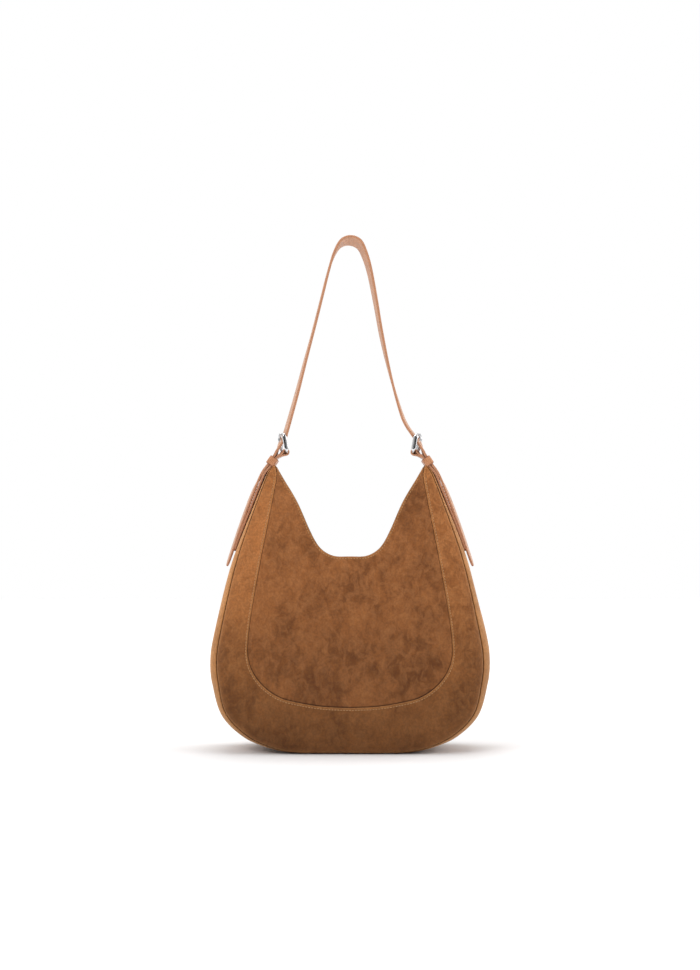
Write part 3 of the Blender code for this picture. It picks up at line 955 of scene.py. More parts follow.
def hollow(distance: Points, centre: float, width: float) -> Points:
    """A soft groove of depth one at a distance from a seam."""
    return np.exp(-((distance - centre) / width) ** 2)


def shoulder(distance: Points, radius: float) -> Points:
    """Depth of a rounded edge that turns in at a seam."""
    rest = np.clip(radius - distance, 0.0, radius)
    return radius - np.sqrt(radius ** 2 - rest ** 2)


def step(distance: Points, width: float) -> Points:
    """One at a seam, falling smoothly to nothing over a width."""
    share = np.clip(distance / width, 0.0, 1.0)
    return 1.0 - share * share * (3.0 - 2.0 * share)


END_ANGLES = (80.0, 55.0, 28.0)


def loft(name: str, rings: Points, material: bpy.types.Material,
         marks: dict[str, Points] | None = None, closed: bool = False) -> bpy.types.Object:
    """A closed strip from rings of points, its ends rounded over.

    Args:
        name: The piece's name.
        rings: Points of each ring; a ring's first half faces its second half.
        material: The piece's material.
        marks: Values for each point, by mark.
        closed: Whether the strip runs round to its start.

    Returns:
        The new object.
    """
    marks = dict(marks or {})
    count, around = rings.shape[:2]
    if not closed:
        parts = [rings]
        for outer, inner in ((0, 1), (-1, -2)):
            ring = rings[outer]
            middle = (ring + ring[::-1]) / 2
            half = ring - middle
            reach = np.linalg.norm(half, axis=1, keepdims=True)
            along = unit((ring - rings[inner]).mean(axis=0))
            caps = [middle + half * math.cos(math.radians(a)) + along * reach * math.sin(math.radians(a))
                    for a in END_ANGLES]
            if outer == 0:
                parts.insert(0, np.array(caps))
            else:
                parts.append(np.array(caps[::-1]))
        rings = np.concatenate(parts)
        extra = len(END_ANGLES)
        for mark, values in marks.items():
            marks[mark] = np.concatenate([np.repeat(values[:1], extra, axis=0), values,
                                          np.repeat(values[-1:], extra, axis=0)])
        count += 2 * extra
    faces = loop_faces(count, around, closed)
    if not closed:
        faces += cap_faces(0, around) + cap_faces((count - 1) * around, around)
    item = make_mesh(name, rings.reshape(-1, 3), faces, material)
    for mark, values in marks.items():
        set_mark(item, mark, values)
    return item


@dataclass
class Stitching:
    """Rows of sewn stitches that lie on a surface."""

    pitch: float = 3.6 * MM
    length: float = 2.7 * MM
    radius: float = 0.40 * MM
    sink: float = 0.10 * MM

    def sew(self, name: str, line: Points, normals: Points, material: bpy.types.Material,
            seed: int = 1) -> bpy.types.Object:
        """Lay stitches along a line.

        Args:
            name: The row's name.
            line: Points that the row follows.
            normals: The surface's outward direction at each point.
            material: The thread's material.
            seed: Sets the small differences between stitches.

        Returns:
            The row as one object.
        """
        run = run_along(line)
        count = max(int(run[-1] / self.pitch), 1)
        middles = (np.arange(count) + 0.5) * run[-1] / count

        def along(values: Points, where: Points) -> Points:
            """Values at distances along the line."""
            return np.column_stack([np.interp(where, run, values[:, k]) for k in range(3)])

        centre = along(line, middles)
        way = unit(along(line, middles + 0.4 * MM) - along(line, middles - 0.4 * MM))
        up = along(normals, middles)
        up = unit(up - way * np.sum(up * way, axis=1, keepdims=True))
        side = np.cross(up, way)
        chance = np.random.default_rng(seed)
        tilt = chance.normal(0.0, 0.05, count)[:, None]
        way, side = way + side * tilt, side - way * tilt
        reach = self.length / 2 * (1.0 + chance.normal(0.0, 0.04, count))
        stations = np.array([-1.0, -0.86, -0.5, 0.0, 0.5, 0.86, 1.0])
        girth = np.array([0.25, 0.72, 0.96, 1.0, 0.96, 0.72, 0.25]) * self.radius
        drop = np.array([-0.75, -0.35, -0.05, 0.0, -0.05, -0.35, -0.75]) * self.radius * 0.8
        turn = np.linspace(0.0, 2 * math.pi, 8, endpoint=False)
        verts, faces = [], []
        for k in range(count):
            middle = centre[k] + up[k] * (self.radius * 0.35 - self.sink)
            first = len(verts) * len(turn) * len(stations)
            spine = middle + np.outer(stations * reach[k], way[k]) + np.outer(drop, up[k])
            ring = np.outer(np.cos(turn), side[k]) + np.outer(np.sin(turn), up[k])
            verts.append(spine[:, None, :] + girth[:, None, None] * ring[None, :, :])
            faces += [tuple(first + n for n in face) for face in loop_faces(len(stations), len(turn), False)]
            faces.append(tuple(first + n for n in range(len(turn))))
            faces.append(tuple(first + (len(stations) - 1) * len(turn) + n for n in range(len(turn))))
        return make_mesh(name, np.array(verts).reshape(-1, 3), faces, material, 75.0)


@dataclass
class Body:
    """Panels, bands, gussets, facings and linings, with their sewing."""

    finishes: Finishes
    shape: BodyShape = field(default_factory=BodyShape)
    stitching: Stitching = field(default_factory=Stitching)
    grid: float = 3.0 * MM
    tuck: float = 5.0 * MM
    step_depth: float = 0.75 * MM
    ridge: float = 0.5 * MM
    seam_radius: float = 2.0 * MM
    stitch_inset: float = 2.6 * MM
    ear_station: float = 0.6
    facing_share: float = 0.86

    def stations(self, start: float, end: float) -> Points:
        """Even stations between two ends, about one grid step apart."""
        step_length = np.linalg.norm(np.diff(self.shape.seam, axis=0), axis=1).sum() / self.shape.last
        return np.linspace(start, end, int((end - start) * step_length / self.grid) + 1)

    def widths(self, us: Points) -> tuple[Points, Points]:
        """The widths of the band and of the centre panel at each station."""
        seam, join, mouth = (self.shape.at(line, us)
                             for line in (self.shape.seam, self.shape.join, self.shape.mouth))
        return np.linalg.norm(join - seam, axis=1), np.linalg.norm(mouth - join, axis=1)

    def wall(self, name: str, place: Place, us: Points, rows: Points, outer: Points, inner: Points,
             to_row: Callable[[Points], Points], material: bpy.types.Material,
             marks: dict[str, Points]) -> bpy.types.Object:
        """A closed wall between an outer and an inner depth, with its long edges rounded.

        Args:
            name: The piece's name.
            place: The surface, from station, row and depth to a point.
            us: Stations.
            rows: Distances across the strip at each station.
            outer: The outer surface's depth at each point.
            inner: The inner surface's depth at each point.
            to_row: Turns distances into the surface's own rows.
            material: The piece's material.
            marks: Values for the outer surface's points, by mark.

        Returns:
            The new object.
        """
        middle, half = (outer + inner) / 2, (inner - outer) / 2
        turn = np.radians((90.0, 60.0, 30.0))
        low = rows[:, :1] - half[:, :1] * np.cos(turn)[None, :] + half[:, :1]
        high = rows[:, -1:] + half[:, -1:] * np.cos(turn)[None, ::-1] - half[:, -1:]
        inside = slice(1, -1)
        spread = np.hstack([low[:, ::-1], rows[:, inside], high[:, ::-1]])
        tops = np.hstack([middle[:, :1] - half[:, :1] * np.sin(turn[::-1])[None, :], outer[:, inside],
                          middle[:, -1:] - half[:, -1:] * np.sin(turn)[None, :]])
        bottoms = np.hstack([middle[:, :1] + half[:, :1] * np.sin(turn[::-1])[None, :], inner[:, inside],
                             middle[:, -1:] + half[:, -1:] * np.sin(turn)[None, :]])
        spread = np.sort(spread, axis=1)
        distances = np.hstack([spread, spread[:, ::-1]])
        depths = np.hstack([tops, bottoms[:, ::-1]])
        rings = place(us[:, None], to_row(distances), depths)
        full = {}
        for mark, values in marks.items():
            wide = np.hstack([np.repeat(values[:, :1], 3, axis=1), values[:, inside],
                              np.repeat(values[:, -1:], 3, axis=1)])
            full[mark] = np.hstack([wide, wide[:, ::-1]])
        return loft(name, rings, material, full)

    def panel_place(self, face: Face) -> Place:
        """The panel surface of one face."""
        return lambda u, r, depth: self.shape.panel(u, r, depth, face)

    def centre_panel(self, face: Face) -> bpy.types.Object:
        """The centre panel: tucked under the band at its seam and rolled over at the mouth."""
        us = self.stations(0.0, self.shape.last)
        band, width = self.widths(us)
        rows = spaced(width, (0.0, 0.4 * MM, 1.0 * MM, 1.8 * MM, 2.8 * MM, 4.0 * MM), 54,
                      (0.0, 0.9 * MM, 1.6 * MM, 2.1 * MM, 2.6 * MM, 3.1 * MM, 3.9 * MM, 5.0 * MM))
        to_mouth = width[:, None] - rows
        outer = self.step_depth * step(rows, 4.0 * MM)
        outer += 0.28 * MM * hollow(to_mouth, self.stitch_inset, 0.7 * MM)
        outer += shoulder(to_mouth, 1.0 * MM)
        tucked = -np.minimum(self.tuck, band * 0.4)[:, None]
        rows = np.hstack([tucked, tucked * 0.4, rows])
        outer = np.hstack([np.full((len(us), 2), self.step_depth), outer])
        inner = np.full_like(outer, SUEDE)
        # Painted shade: darker in the step under the band's folded edge and along the mouth's stitch line.
        seam_shade = np.hstack([np.ones((len(us), 2)), step(rows[:, 2:], 2.2 * MM)])
        near = np.hstack([np.full((len(us), 2), 1.0), to_mouth])
        fold = step(near, 2.2 * MM) * 0.9 + 0.35 * step(near, 6.0 * MM)
        fold[:, :2] = 0.0
        seam_shade = seam_shade + 0.30 * hollow(near, self.stitch_inset, 0.8 * MM)

        def to_row(distance: Points) -> Points:
            """Distances past the panel seam as rows of the whole panel."""
            share = self.shape.band_share
            inside = share + distance / np.maximum(width, 1e-6)[:, None] * (1.0 - share)
            under = share + distance / np.maximum(band, 1e-6)[:, None] * share
            return np.where(distance < 0.0, under, inside)

        piece = self.wall(f"{face.word}_centre_panel_suede", self.panel_place(face), us, rows, outer, inner,
                          to_row, self.finishes.centre, {"seam_shade": seam_shade, "fold": fold})
        return attach(piece, "root", "suede", f"{face.word}_centre_panel")

    def band(self, face: Face) -> bpy.types.Object:
        """The outer band: turned in at the gusset seam, folded and raised over the centre panel."""
        us = self.stations(0.0, self.shape.last)
        width, _ = self.widths(us)
        rows = spaced(width, (0.0, 0.15 * MM, 0.45 * MM, 0.9 * MM, 1.5 * MM, 2.3 * MM, 3.6 * MM), 14,
                      (0.0, 0.6 * MM, 1.1 * MM, 1.7 * MM, 2.2 * MM, 2.6 * MM, 3.0 * MM, 3.6 * MM, 4.6 * MM,
                       6.2 * MM))
        to_fold = width[:, None] - rows
        outer = shoulder(rows, self.seam_radius) - self.ridge * step(to_fold, 6.0 * MM)
        outer += 0.32 * MM * hollow(to_fold, self.stitch_inset, 0.7 * MM)
        inner = SUEDE + self.seam_radius * step(rows, 3.0 * MM)
        inner = inner - (SUEDE - self.step_depth + 0.1 * MM) * step(to_fold, 7.0 * MM)
        inner = np.maximum(inner, outer + 0.5 * MM)
        # Painted shade: darker at the gusset seam and along the stitch line by the folded edge.
        seam_shade = step(rows, 1.1 * MM) + 0.3 * hollow(to_fold, self.stitch_inset, 0.8 * MM)
        fold = 0.8 * step(np.abs(to_fold - 0.7 * MM), 1.9 * MM) + 0.45 * hollow(rows, 2.4 * MM, 1.3 * MM)

        def to_row(distance: Points) -> Points:
            """Distances past the gusset seam as rows of the whole panel."""
            return distance / np.maximum(width, 1e-6)[:, None] * self.shape.band_share

        piece = self.wall(f"{face.word}_band_suede", self.panel_place(face), us, rows, outer, inner, to_row,
                          self.finishes.band, {"seam_shade": seam_shade, "fold": fold})
        return attach(piece, "root", "suede", f"{face.word}_band")

    def gusset(self, side: Side) -> bpy.types.Object:
        """One half of the gusset, turned in at its seams."""
        middle = self.shape.stations
        start, end = (0.0, middle - 0.012) if side is Side.LEFT else (middle + 0.012, self.shape.last)
        us = self.stations(start, end)
        height = self.shape.at(self.shape.seam, us)[:, 1]
        half = np.interp(height, self.shape.seam_depth_z, self.shape.seam_depth)
        edge = (0.0, 0.15 * MM, 0.45 * MM, 0.9 * MM, 1.5 * MM, 2.3 * MM, 3.6 * MM)
        rows = spaced(2 * half, edge, 24, edge)
        near = np.minimum(rows, 2 * half[:, None] - rows)
        outer = shoulder(near, self.seam_radius)
        inner = SUEDE + self.seam_radius * step(near, 3.0 * MM)
        joint = np.abs(us - middle)[:, None] * 0.0235
        outer = outer + 1.2 * MM * step(joint, 2.4 * MM) * (near > 1.0 * MM)
        inner = np.maximum(inner, outer + 0.5 * MM)
        # Painted shade: darker at both seams and at the joint between the two halves.
        seam_shade = step(near, 1.1 * MM) + 0.7 * step(joint, 1.6 * MM)
        fold = 0.5 * hollow(near, 2.4 * MM, 1.3 * MM)

        def to_row(distance: Points) -> Points:
            """Distances from the front seam as steps across the gusset."""
            return distance / half[:, None] - 1.0

        piece = self.wall(f"{side.word}_gusset_suede", self.shape.gusset, us, rows, outer, inner, to_row,
                          self.finishes.gusset, {"seam_shade": np.clip(seam_shade, 0.0, 1.0), "fold": fold})
        return attach(piece, "root", "suede", f"{side.word}_gusset")

    def facing(self, face: Face) -> bpy.types.Object:
        """The suede strip inside the mouth, turned over at its edges."""
        us = self.stations(self.ear_station, self.shape.last - self.ear_station)
        _, width = self.widths(us)
        low = width * (self.facing_share - self.shape.band_share) / (1.0 - self.shape.band_share)
        strip = width - low
        rows = spaced(strip, (0.0, 0.5 * MM, 1.2 * MM), 8, (0.0, 0.5 * MM, 1.2 * MM, 2.4 * MM))
        to_mouth = strip[:, None] - rows
        base = SUEDE + GAP
        outer = base + 0.2 * shoulder(rows, 0.5 * MM)
        inner = base + SUEDE - 0.9 * MM * step(to_mouth, 2.0 * MM)
        fold = 0.7 * step(np.minimum(to_mouth, rows), 2.0 * MM)

        def to_row(distance: Points) -> Points:
            """Distances past the facing's lower edge as rows of the whole panel."""
            share = self.shape.band_share
            return self.facing_share + distance / width[:, None] * (1.0 - share)

        piece = self.wall(f"{face.word}_facing_suede", self.panel_place(face), us, rows, outer, inner, to_row,
                          self.finishes.facing, {"seam_shade": np.zeros_like(rows), "fold": fold})
        return attach(piece, "root", "suede_facing", f"{face.word}_facing")

    def cloth_layers(self, wrinkle: Points) -> tuple[Points, Points]:
        """Depths of a lining's outer and inner surface, with wrinkles."""
        outer = SUEDE + GAP + 0.1 * MM + 0.25 * MM * (1.0 + wrinkle)
        return outer, outer + 0.6 * LINING

    def lining(self, face: Face) -> bpy.types.Object:
        """A panel's lining, from the gusset seam up to the facing."""
        us = self.stations(self.ear_station, self.shape.last - self.ear_station)
        rows = np.repeat(np.linspace(0.006, self.facing_share - 0.004, 46)[None, :], len(us), axis=0)
        outer, inner = self.cloth_layers(ripple(self.shape.panel(us[:, None], rows, 0.0, face), 0.03,
                                                31.0 + face.value))
        rings = self.shape.panel(us[:, None], np.hstack([rows, rows[:, ::-1]]),
                                 np.hstack([outer, inner[:, ::-1]]), face)
        piece = loft(f"{face.word}_lining_cloth", rings, self.finishes.lining)
        return attach(piece, "root", "lining", f"{face.word}_lining")

    def gusset_lining(self) -> bpy.types.Object:
        """The lining round the gusset and over the base."""
        us = self.stations(self.ear_station, self.shape.last - self.ear_station)
        rows = np.repeat(np.linspace(-0.985, 0.985, 36)[None, :], len(us), axis=0)
        outer, inner = self.cloth_layers(ripple(self.shape.gusset(us[:, None], rows, 0.0), 0.03, 37.0))
        rings = self.shape.gusset(us[:, None], np.hstack([rows, rows[:, ::-1]]),
                                  np.hstack([outer, inner[:, ::-1]]))
        piece = loft("gusset_lining_cloth", rings, self.finishes.lining)
        return attach(piece, "root", "lining", "gusset_lining")

    def stitch_row(self, name: str, face: Face, start: float, end: float,
                   row_at: Callable[[Points], Points], depth: float, seed: int) -> bpy.types.Object:
        """A row of stitches on a panel.

        Args:
            name: The row's name.
            face: The front or the back panel.
            start: The first station.
            end: The last station.
            row_at: The panel's row at each station.
            depth: How deep the surface lies there.
            seed: Sets the small differences between stitches.

        Returns:
            The row as one piece.
        """
        us = np.linspace(start, end, 900)
        rows = row_at(us)
        line = self.shape.panel(us, rows, depth, face)
        along = np.gradient(line, axis=0)
        across = self.shape.panel(us, rows + 0.004, depth, face) - line
        normals = unit(np.cross(along, across))
        normals *= np.sign(normals[:, 1:2] * face.value)
        piece = self.stitching.sew(name, line, normals, self.finishes.thread, seed)
        return attach(piece, "root", "suede")

    def stitches(self, face: Face) -> None:
        """The rows along the band's folded edge and along the mouth."""
        share = self.shape.band_share

        def on_band(us: Points) -> Points:
            """Rows just inside the band's folded edge."""
            width, _ = self.widths(us)
            return share * (1.0 - self.stitch_inset / np.maximum(width, 2.2 * self.stitch_inset))

        def on_mouth(us: Points) -> Points:
            """Rows just below the mouth's rolled edge."""
            _, width = self.widths(us)
            return 1.0 - (1.0 - share) * self.stitch_inset / np.maximum(width, 2.2 * self.stitch_inset)

        last = self.shape.last
        self.stitch_row(f"{face.word}_band_stitches", face, 0.7, last - 0.7, on_band, -0.18 * MM,
                        5 + face.value)
        self.stitch_row(f"{face.word}_mouth_stitches", face, 0.9, last - 0.9, on_mouth, 0.25 * MM,
                        9 + face.value)

    def build(self) -> None:
        """Make every piece of the body."""
        for face in Face:
            self.centre_panel(face)
            self.band(face)
            self.facing(face)
            self.lining(face)
            self.stitches(face)
        for side in Side:
            self.gusset(side)
        self.gusset_lining()


# Strap, tabs, keepers and buckles

def turned(points: Points, centre: Points, angle: float) -> Points:
    """Points turned about a vertical line through a centre."""
    spin = np.array(Matrix.Rotation(angle, 3, "Z"))
    return (points - centre) @ spin.T + centre


def flank(points: Points, side: Side) -> Points:
    """Right-side (x, z) points as points in space on the wanted side."""
    return np.column_stack([points[:, 0] * side.value, np.zeros(len(points)), points[:, 1]])


@dataclass
class Strip:
    """The cross-section of a leather strip with rounded, painted edges."""

    half_width: float = 13.0 * MM
    half_thick: float = 1.6 * MM
    corner: float = 1.15 * MM
    groove_inset: float = 2.3 * MM
    groove: float = 0.16 * MM

    def section(self) -> tuple[Points, Points, Points]:
        """The upper half of the section, from one edge to the other.

        Returns:
            Shares of the half width, shares of the half thickness and the edge mark.
        """
        turn = np.radians((12.0, 38.0, 64.0, 90.0))
        reach = self.half_width - self.corner + self.corner * np.cos(turn)
        rise = self.half_thick - self.corner + self.corner * np.sin(turn)
        inset = self.half_width - self.groove_inset
        flat = np.array([inset + 0.5 * MM, inset, inset - 0.5 * MM, inset * 0.6, inset * 0.3, 0.0])
        level = np.array([0.0, -self.groove, 0.0, 0.0, 0.0, 0.0]) + self.half_thick
        across = np.concatenate([reach, flat])
        height = np.concatenate([rise, level])
        edge = np.concatenate([[1.0, 1.0, 0.85, 0.2], np.zeros(len(flat))])
        across = np.concatenate([-across, across[-2::-1]])
        height = np.concatenate([height, height[-2::-1]])
        edge = np.concatenate([edge, edge[-2::-1]])
        return across / self.half_width, height / self.half_thick, edge

    def sweep(self, name: str, line: Points, wide: Points, material: bpy.types.Material,
              widths: Points | float = 1.0, thicks: Points | float = 1.0) -> bpy.types.Object:
        """Sweep the section along a line.

        Args:
            name: The piece's name.
            line: The strip's middle line.
            wide: The direction of its width at each point.
            material: The piece's material.
            widths: Share of the full width at each point.
            thicks: Share of the full thickness at each point.

        Returns:
            The new object.
        """
        along = unit(np.gradient(line, axis=0))
        wide = unit(wide - along * np.sum(wide * along, axis=1, keepdims=True))
        up = np.cross(along, wide)
        across, height, edge = self.section()
        widths = np.broadcast_to(widths, len(line))[:, None]
        thicks = np.broadcast_to(thicks, len(line))[:, None]
        flat = (across[None, :] * widths * self.half_width)[..., None] * wide[:, None, :]
        rise = (height[None, :] * thicks * self.half_thick)[..., None] * up[:, None, :]
        rings = line[:, None, :] + np.hstack([flat + rise, (flat - rise)[:, ::-1]])
        marks = np.repeat(np.concatenate([edge, edge[::-1]])[None, :], len(line), axis=0)
        marks[0], marks[-1] = 1.0, 1.0
        return loft(name, rings, material, {"edge": marks})


def tube(name: str, line: Points, wide: Points, material: bpy.types.Material, half_width: Points | float,
         half_thick: float, closed: bool = False, sides: int = 20, shares: Points | float = 1.0,
         round_off: float = 1.0) -> bpy.types.Object:
    """A bar of oval section along a line.

    Args:
        name: The piece's name.
        line: The bar's middle line.
        wide: A direction across the bar at each point.
        material: The piece's material.
        half_width: Half its size along wide, or that at each point.
        half_thick: Half its other size.
        closed: Whether it runs round to its start.
        sides: Points round the section, an even number.
        shares: Share of the full size at each point.
        round_off: One for an oval section, less for a flatter one.

    Returns:
        The new object.
    """
    if closed:
        along = unit(np.roll(line, -1, axis=0) - np.roll(line, 1, axis=0))
    else:
        along = unit(np.gradient(line, axis=0))
    wide = unit(wide - along * np.sum(wide * along, axis=1, keepdims=True))
    up = np.cross(along, wide)
    turn = (np.arange(sides) + 0.5) / sides * 2 * math.pi
    shares = np.broadcast_to(shares, len(line))[:, None, None]
    half_width = np.broadcast_to(half_width, len(line))[:, None, None]
    across, rise = (np.sign(part) * np.abs(part) ** round_off for part in (np.cos(turn), np.sin(turn)))
    rings = line[:, None, :] + shares * (across[None, :, None] * wide[:, None, :] * half_width
                                         + rise[None, :, None] * up[:, None, :] * half_thick)
    return loft(name, rings, material, closed=closed)


def drill(centre: Points, way: Points, long: Points, half_long: float, half_wide: float,
          reach: float) -> bpy.types.Object:
    """A rounded oblong cutter.

    Args:
        centre: The hole's middle.
        way: The direction that it goes through.
        long: The direction of its longer side.
        half_long: Half its length.
        half_wide: Half its width.
        reach: How far it goes each way.

    Returns:
        The cutter.
    """
    way, long = unit(way), unit(long)
    wide = np.cross(way, long)
    turn = np.linspace(0.0, 2 * math.pi, 24, endpoint=False)
    straight = (half_long - half_wide) * np.sign(np.cos(turn)) * (np.abs(np.cos(turn)) > 1e-9)
    ring = centre + np.outer(half_wide * np.cos(turn) + straight, long) + np.outer(
        half_wide * np.sin(turn), wide)
    verts = np.vstack([ring - way * reach, ring + way * reach])
    count = len(turn)
    faces = loop_faces(2, count, False) + [tuple(range(count)), tuple(range(count, 2 * count))]
    return make_mesh("cutter", verts, faces, bpy.data.materials["strap_leather"])


@dataclass
class Leather:
    """The shoulder strap with its tails, the tabs and the keepers."""

    finishes: Finishes
    shape: BodyShape
    stitching: Stitching
    strip: Strip = field(default_factory=Strip)
    hinge: Pair = (0.0837, 0.3765)
    toe_in: float = math.radians(13.0)
    keeper_centre: Pair = (0.0993, 0.3649)
    keeper_slope: float = math.radians(55.5)
    keeper_length: float = 11.0 * MM
    keeper_wall: float = 1.9 * MM
    layer_offset: float = 1.9 * MM
    strap_end: Pair = (0.0880, 0.3902)
    strap_left: Sequence[Pair] = (
        (0.0846, 0.3945), (0.0826, 0.4015), (0.0780, 0.4174), (0.0675, 0.4555), (0.0577, 0.4937),
        (0.0476, 0.5318), (0.0380, 0.570), (0.0285, 0.6081), (0.0215, 0.631), (0.0126, 0.6462))
    strap_right: Sequence[Pair] = (
        (0.0846, 0.3945), (0.0810, 0.3995), (0.0730, 0.4110), (0.0667, 0.425), (0.0574, 0.4555),
        (0.0478, 0.4937), (0.0398, 0.5318), (0.0332, 0.570), (0.026, 0.6081), (0.0195, 0.631),
        (0.0117, 0.6462))
    strap_apex: Pair = (-0.0006, 0.6510)
    strap_yaw: Sequence[float] = (-13.0, -8.0, -8.0, -3.0, 13.0)
    strap_pitch: float = 0.26
    tail_yaw: float = math.radians(9.0)
    tail_start: Pair = (0.0935, 0.3785)
    tail_points: Sequence[Pair] = (
        (0.1139, 0.3473), (0.1256, 0.3218), (0.1392, 0.2849), (0.1493, 0.2549), (0.1567, 0.2325))
    tip_length: float = 15.0 * MM
    hole_radius: float = 1.8 * MM
    hole_pitch: float = 22.0 * MM
    tab_bottom: float = 0.2493
    tab_top: float = 0.350
    tab_lift: float = 2.2 * MM
    fold_radius: float = 2.95 * MM
    fold_pinch: float = 5.2 * MM
    fold_reach: float = 9.5 * MM
    fold_thick: float = 0.78
    slot_width: float = 3.6 * MM
    slot_reach: float = 5.4 * MM
    neck_low: float = 0.3724
    neck_high: float = 0.3762

    def keeper_line(self, offset: float, *distances: float) -> Points:
        """Points (x, z) along the keeper, at an offset outwards from its middle line."""
        slope = np.array([math.cos(self.keeper_slope), -math.sin(self.keeper_slope)])
        across = np.array([math.sin(self.keeper_slope), math.cos(self.keeper_slope)])
        return np.array([np.array(self.keeper_centre) + across * offset + slope * d for d in distances])

    def dress_neck(self, item: bpy.types.Object, slot: str, *nodes: str) -> None:
        """Bake a leather piece's place into its mesh and hide the CAD nodes that it replaces."""
        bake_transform(item)
        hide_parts(*nodes)
        log.info("%s bends between root and strap, %d faces", item.name, len(item.data.polygons))

    def strap(self) -> None:
        """The strap in one length, from tail to tail, with its holes."""
        run = self.keeper_line(self.layer_offset, -9.6 * MM, -2.0 * MM, 6.0 * MM)
        tail = np.vstack([[self.strap_end, self.tail_start], run, self.tail_points])
        left_tail = (tail * (-1.0, 1.0))[:0:-1]
        left = [(-x, z) for x, z in (self.strap_end, *self.strap_left)]
        right = [*self.strap_right[::-1], self.strap_end]
        flat = smooth_line([*left_tail, *left, self.strap_apex, *right, *tail[1:]], 520)
        line = np.column_stack([flat[:, 0], np.zeros(len(flat)), flat[:, 1]])
        run_length = run_along(line)
        total = run_length[-1]
        ends = [run_length[np.argmin(np.linalg.norm(flat - np.array(self.strap_end) * (way, 1.0), axis=1))]
                for way in (-1.0, 1.0)]
        share = np.clip((run_length - ends[0]) / (ends[1] - ends[0]), 0.0, 1.0)
        yaw = np.radians(np.interp(share, np.linspace(0.0, 1.0, len(self.strap_yaw)), self.strap_yaw))
        past = np.maximum(np.maximum(ends[0] - run_length, run_length - ends[1]), 0.0)
        turn = 1.0 - step(past - 36.0 * MM, 45.0 * MM)
        yaw = yaw * step(past, 17.0 * MM) + self.tail_yaw * turn * np.sign(run_length - total / 2)
        lean = self.strap_pitch * np.sin(math.pi * share) ** 2
        wide = np.column_stack([np.sin(yaw), np.cos(yaw), -np.sin(lean)])
        to_tip = np.minimum(run_length, total - run_length)
        widths = np.clip(to_tip / self.tip_length, 0.0, 1.0)
        widths = 0.16 + 0.84 * np.sqrt(1.0 - (1.0 - widths) ** 2)
        thicks = 0.84 + 0.16 * np.clip(to_tip / 0.05, 0.0, 1.0)
        piece = self.strip.sweep("shoulder_strap", line, wide, self.finishes.strap, widths, thicks)
        along = unit(np.gradient(line, axis=0))
        up = np.cross(along, wide)
        cutters = []
        for end, way in ((ends[0], -1.0), (ends[1], 1.0)):
            for number in (0, 2, 3, 4):
                k = int(np.argmin(np.abs(run_length - end - way * number * self.hole_pitch)))
                long = self.hole_radius if number else 5.0 * MM
                cutters.append(drill(line[k], up[k], along[k], long, self.hole_radius, 6.0 * MM))
        subtract(piece, cutters)
        self.dress_neck(piece, "strap_leather", "strap", "left_tail", "right_tail")

    def tab_line(self) -> tuple[Points, Points]:
        """The tab's middle line in (x, z) on the right side, with its thickness.

        Returns:
            The points, and the share of the full thickness at each one.
        """
        us = np.linspace(self.shape.stations, self.shape.last, 800)
        seam = self.shape.at(self.shape.seam, us)
        inside = (seam[:, 1] >= self.tab_bottom) & (seam[:, 1] <= self.tab_top)
        us, seam = us[inside][::14], seam[inside][::14]
        lift = np.interp(seam[:, 1], self.shape.bulge_z, self.shape.bulge) + self.tab_lift
        low = seam - self.shape.inward(us) * lift[:, None]
        run = self.keeper_line(-self.layer_offset, 5.5 * MM, -1.0 * MM, -7.4 * MM)
        hinge = np.array(self.hinge)
        aim = unit(run[-1] - hinge)
        heading = math.atan2(aim[1], aim[0])
        half = self.fold_thick * self.strip.half_thick
        reach = math.hypot(self.fold_pinch, half)
        spread = math.atan2(half, self.fold_pinch) + math.acos(self.fold_radius / reach)
        arc = np.linspace(heading - spread, heading + spread - 2 * math.pi, 28)
        round_bar = hinge + self.fold_radius * np.column_stack([np.cos(arc), np.sin(arc)])
        beside = np.array([-aim[1], aim[0]]) * half
        arrive, leave = (hinge + aim * self.fold_pinch + way * beside for way in (-1.0, 1.0))
        body = smooth_line(np.vstack([low, run]), 90)
        neck = np.vstack([run[-1] + (arrive - run[-1]) * np.array([[0.3], [0.6]]), arrive[None, :]])
        flap = np.vstack([leave, hinge + aim * self.fold_reach + beside * 1.1])
        points = np.vstack([body, neck, round_bar, flap])
        thick = np.ones(len(points))
        thick[len(body):] = self.fold_thick
        entering = np.clip(np.linalg.norm(body - run[-1], axis=1) / (9.0 * MM), 0.0, 1.0)
        thick[:len(body)] = self.fold_thick + (1.0 - self.fold_thick) * entering
        return points, thick

    def tab(self, side: Side) -> None:
        """A tab: sewn to the gusset, through the keeper and folded round the buckle's bar."""
        flat, thick = self.tab_line()
        line = flank(flat, side)
        near = step(np.linalg.norm(flat - np.array(self.hinge), axis=1) - 3.0 * MM, 8.0 * MM)
        yaw = -side.value * self.toe_in * near
        wide = np.column_stack([np.sin(-yaw), np.cos(yaw), np.zeros(len(yaw))])
        run = run_along(line)
        to_end = np.clip(run / (5.0 * MM), 0.0, 1.0)
        widths = 0.80 + 0.20 * np.sqrt(1.0 - (1.0 - to_end) ** 2)
        to_bar = np.linalg.norm(flat - np.array(self.hinge), axis=1)
        widths = widths * (1.0 - 0.093 * step(to_bar - 6.0 * MM, 8.0 * MM))
        wide = wide * side.value * -1.0
        piece = self.strip.sweep(f"{side.word}_tab_leather", line, wide, self.finishes.strap, widths, thick)
        hinge = flank(np.array([self.hinge]), side)[0]
        axis = np.array([math.sin(side.value * self.toe_in), math.cos(self.toe_in), 0.0])
        across = np.array([axis[1], -axis[0], 0.0])
        subtract(piece, [drill(hinge, axis, across, self.slot_reach, self.slot_reach - 0.1 * MM,
                               self.slot_width / 2)])
        self.dress_neck(piece, "strap_leather", f"{side.word}_tab", f"{side.word}_tab_loop")
        self.tab_stitches(side, line, run)

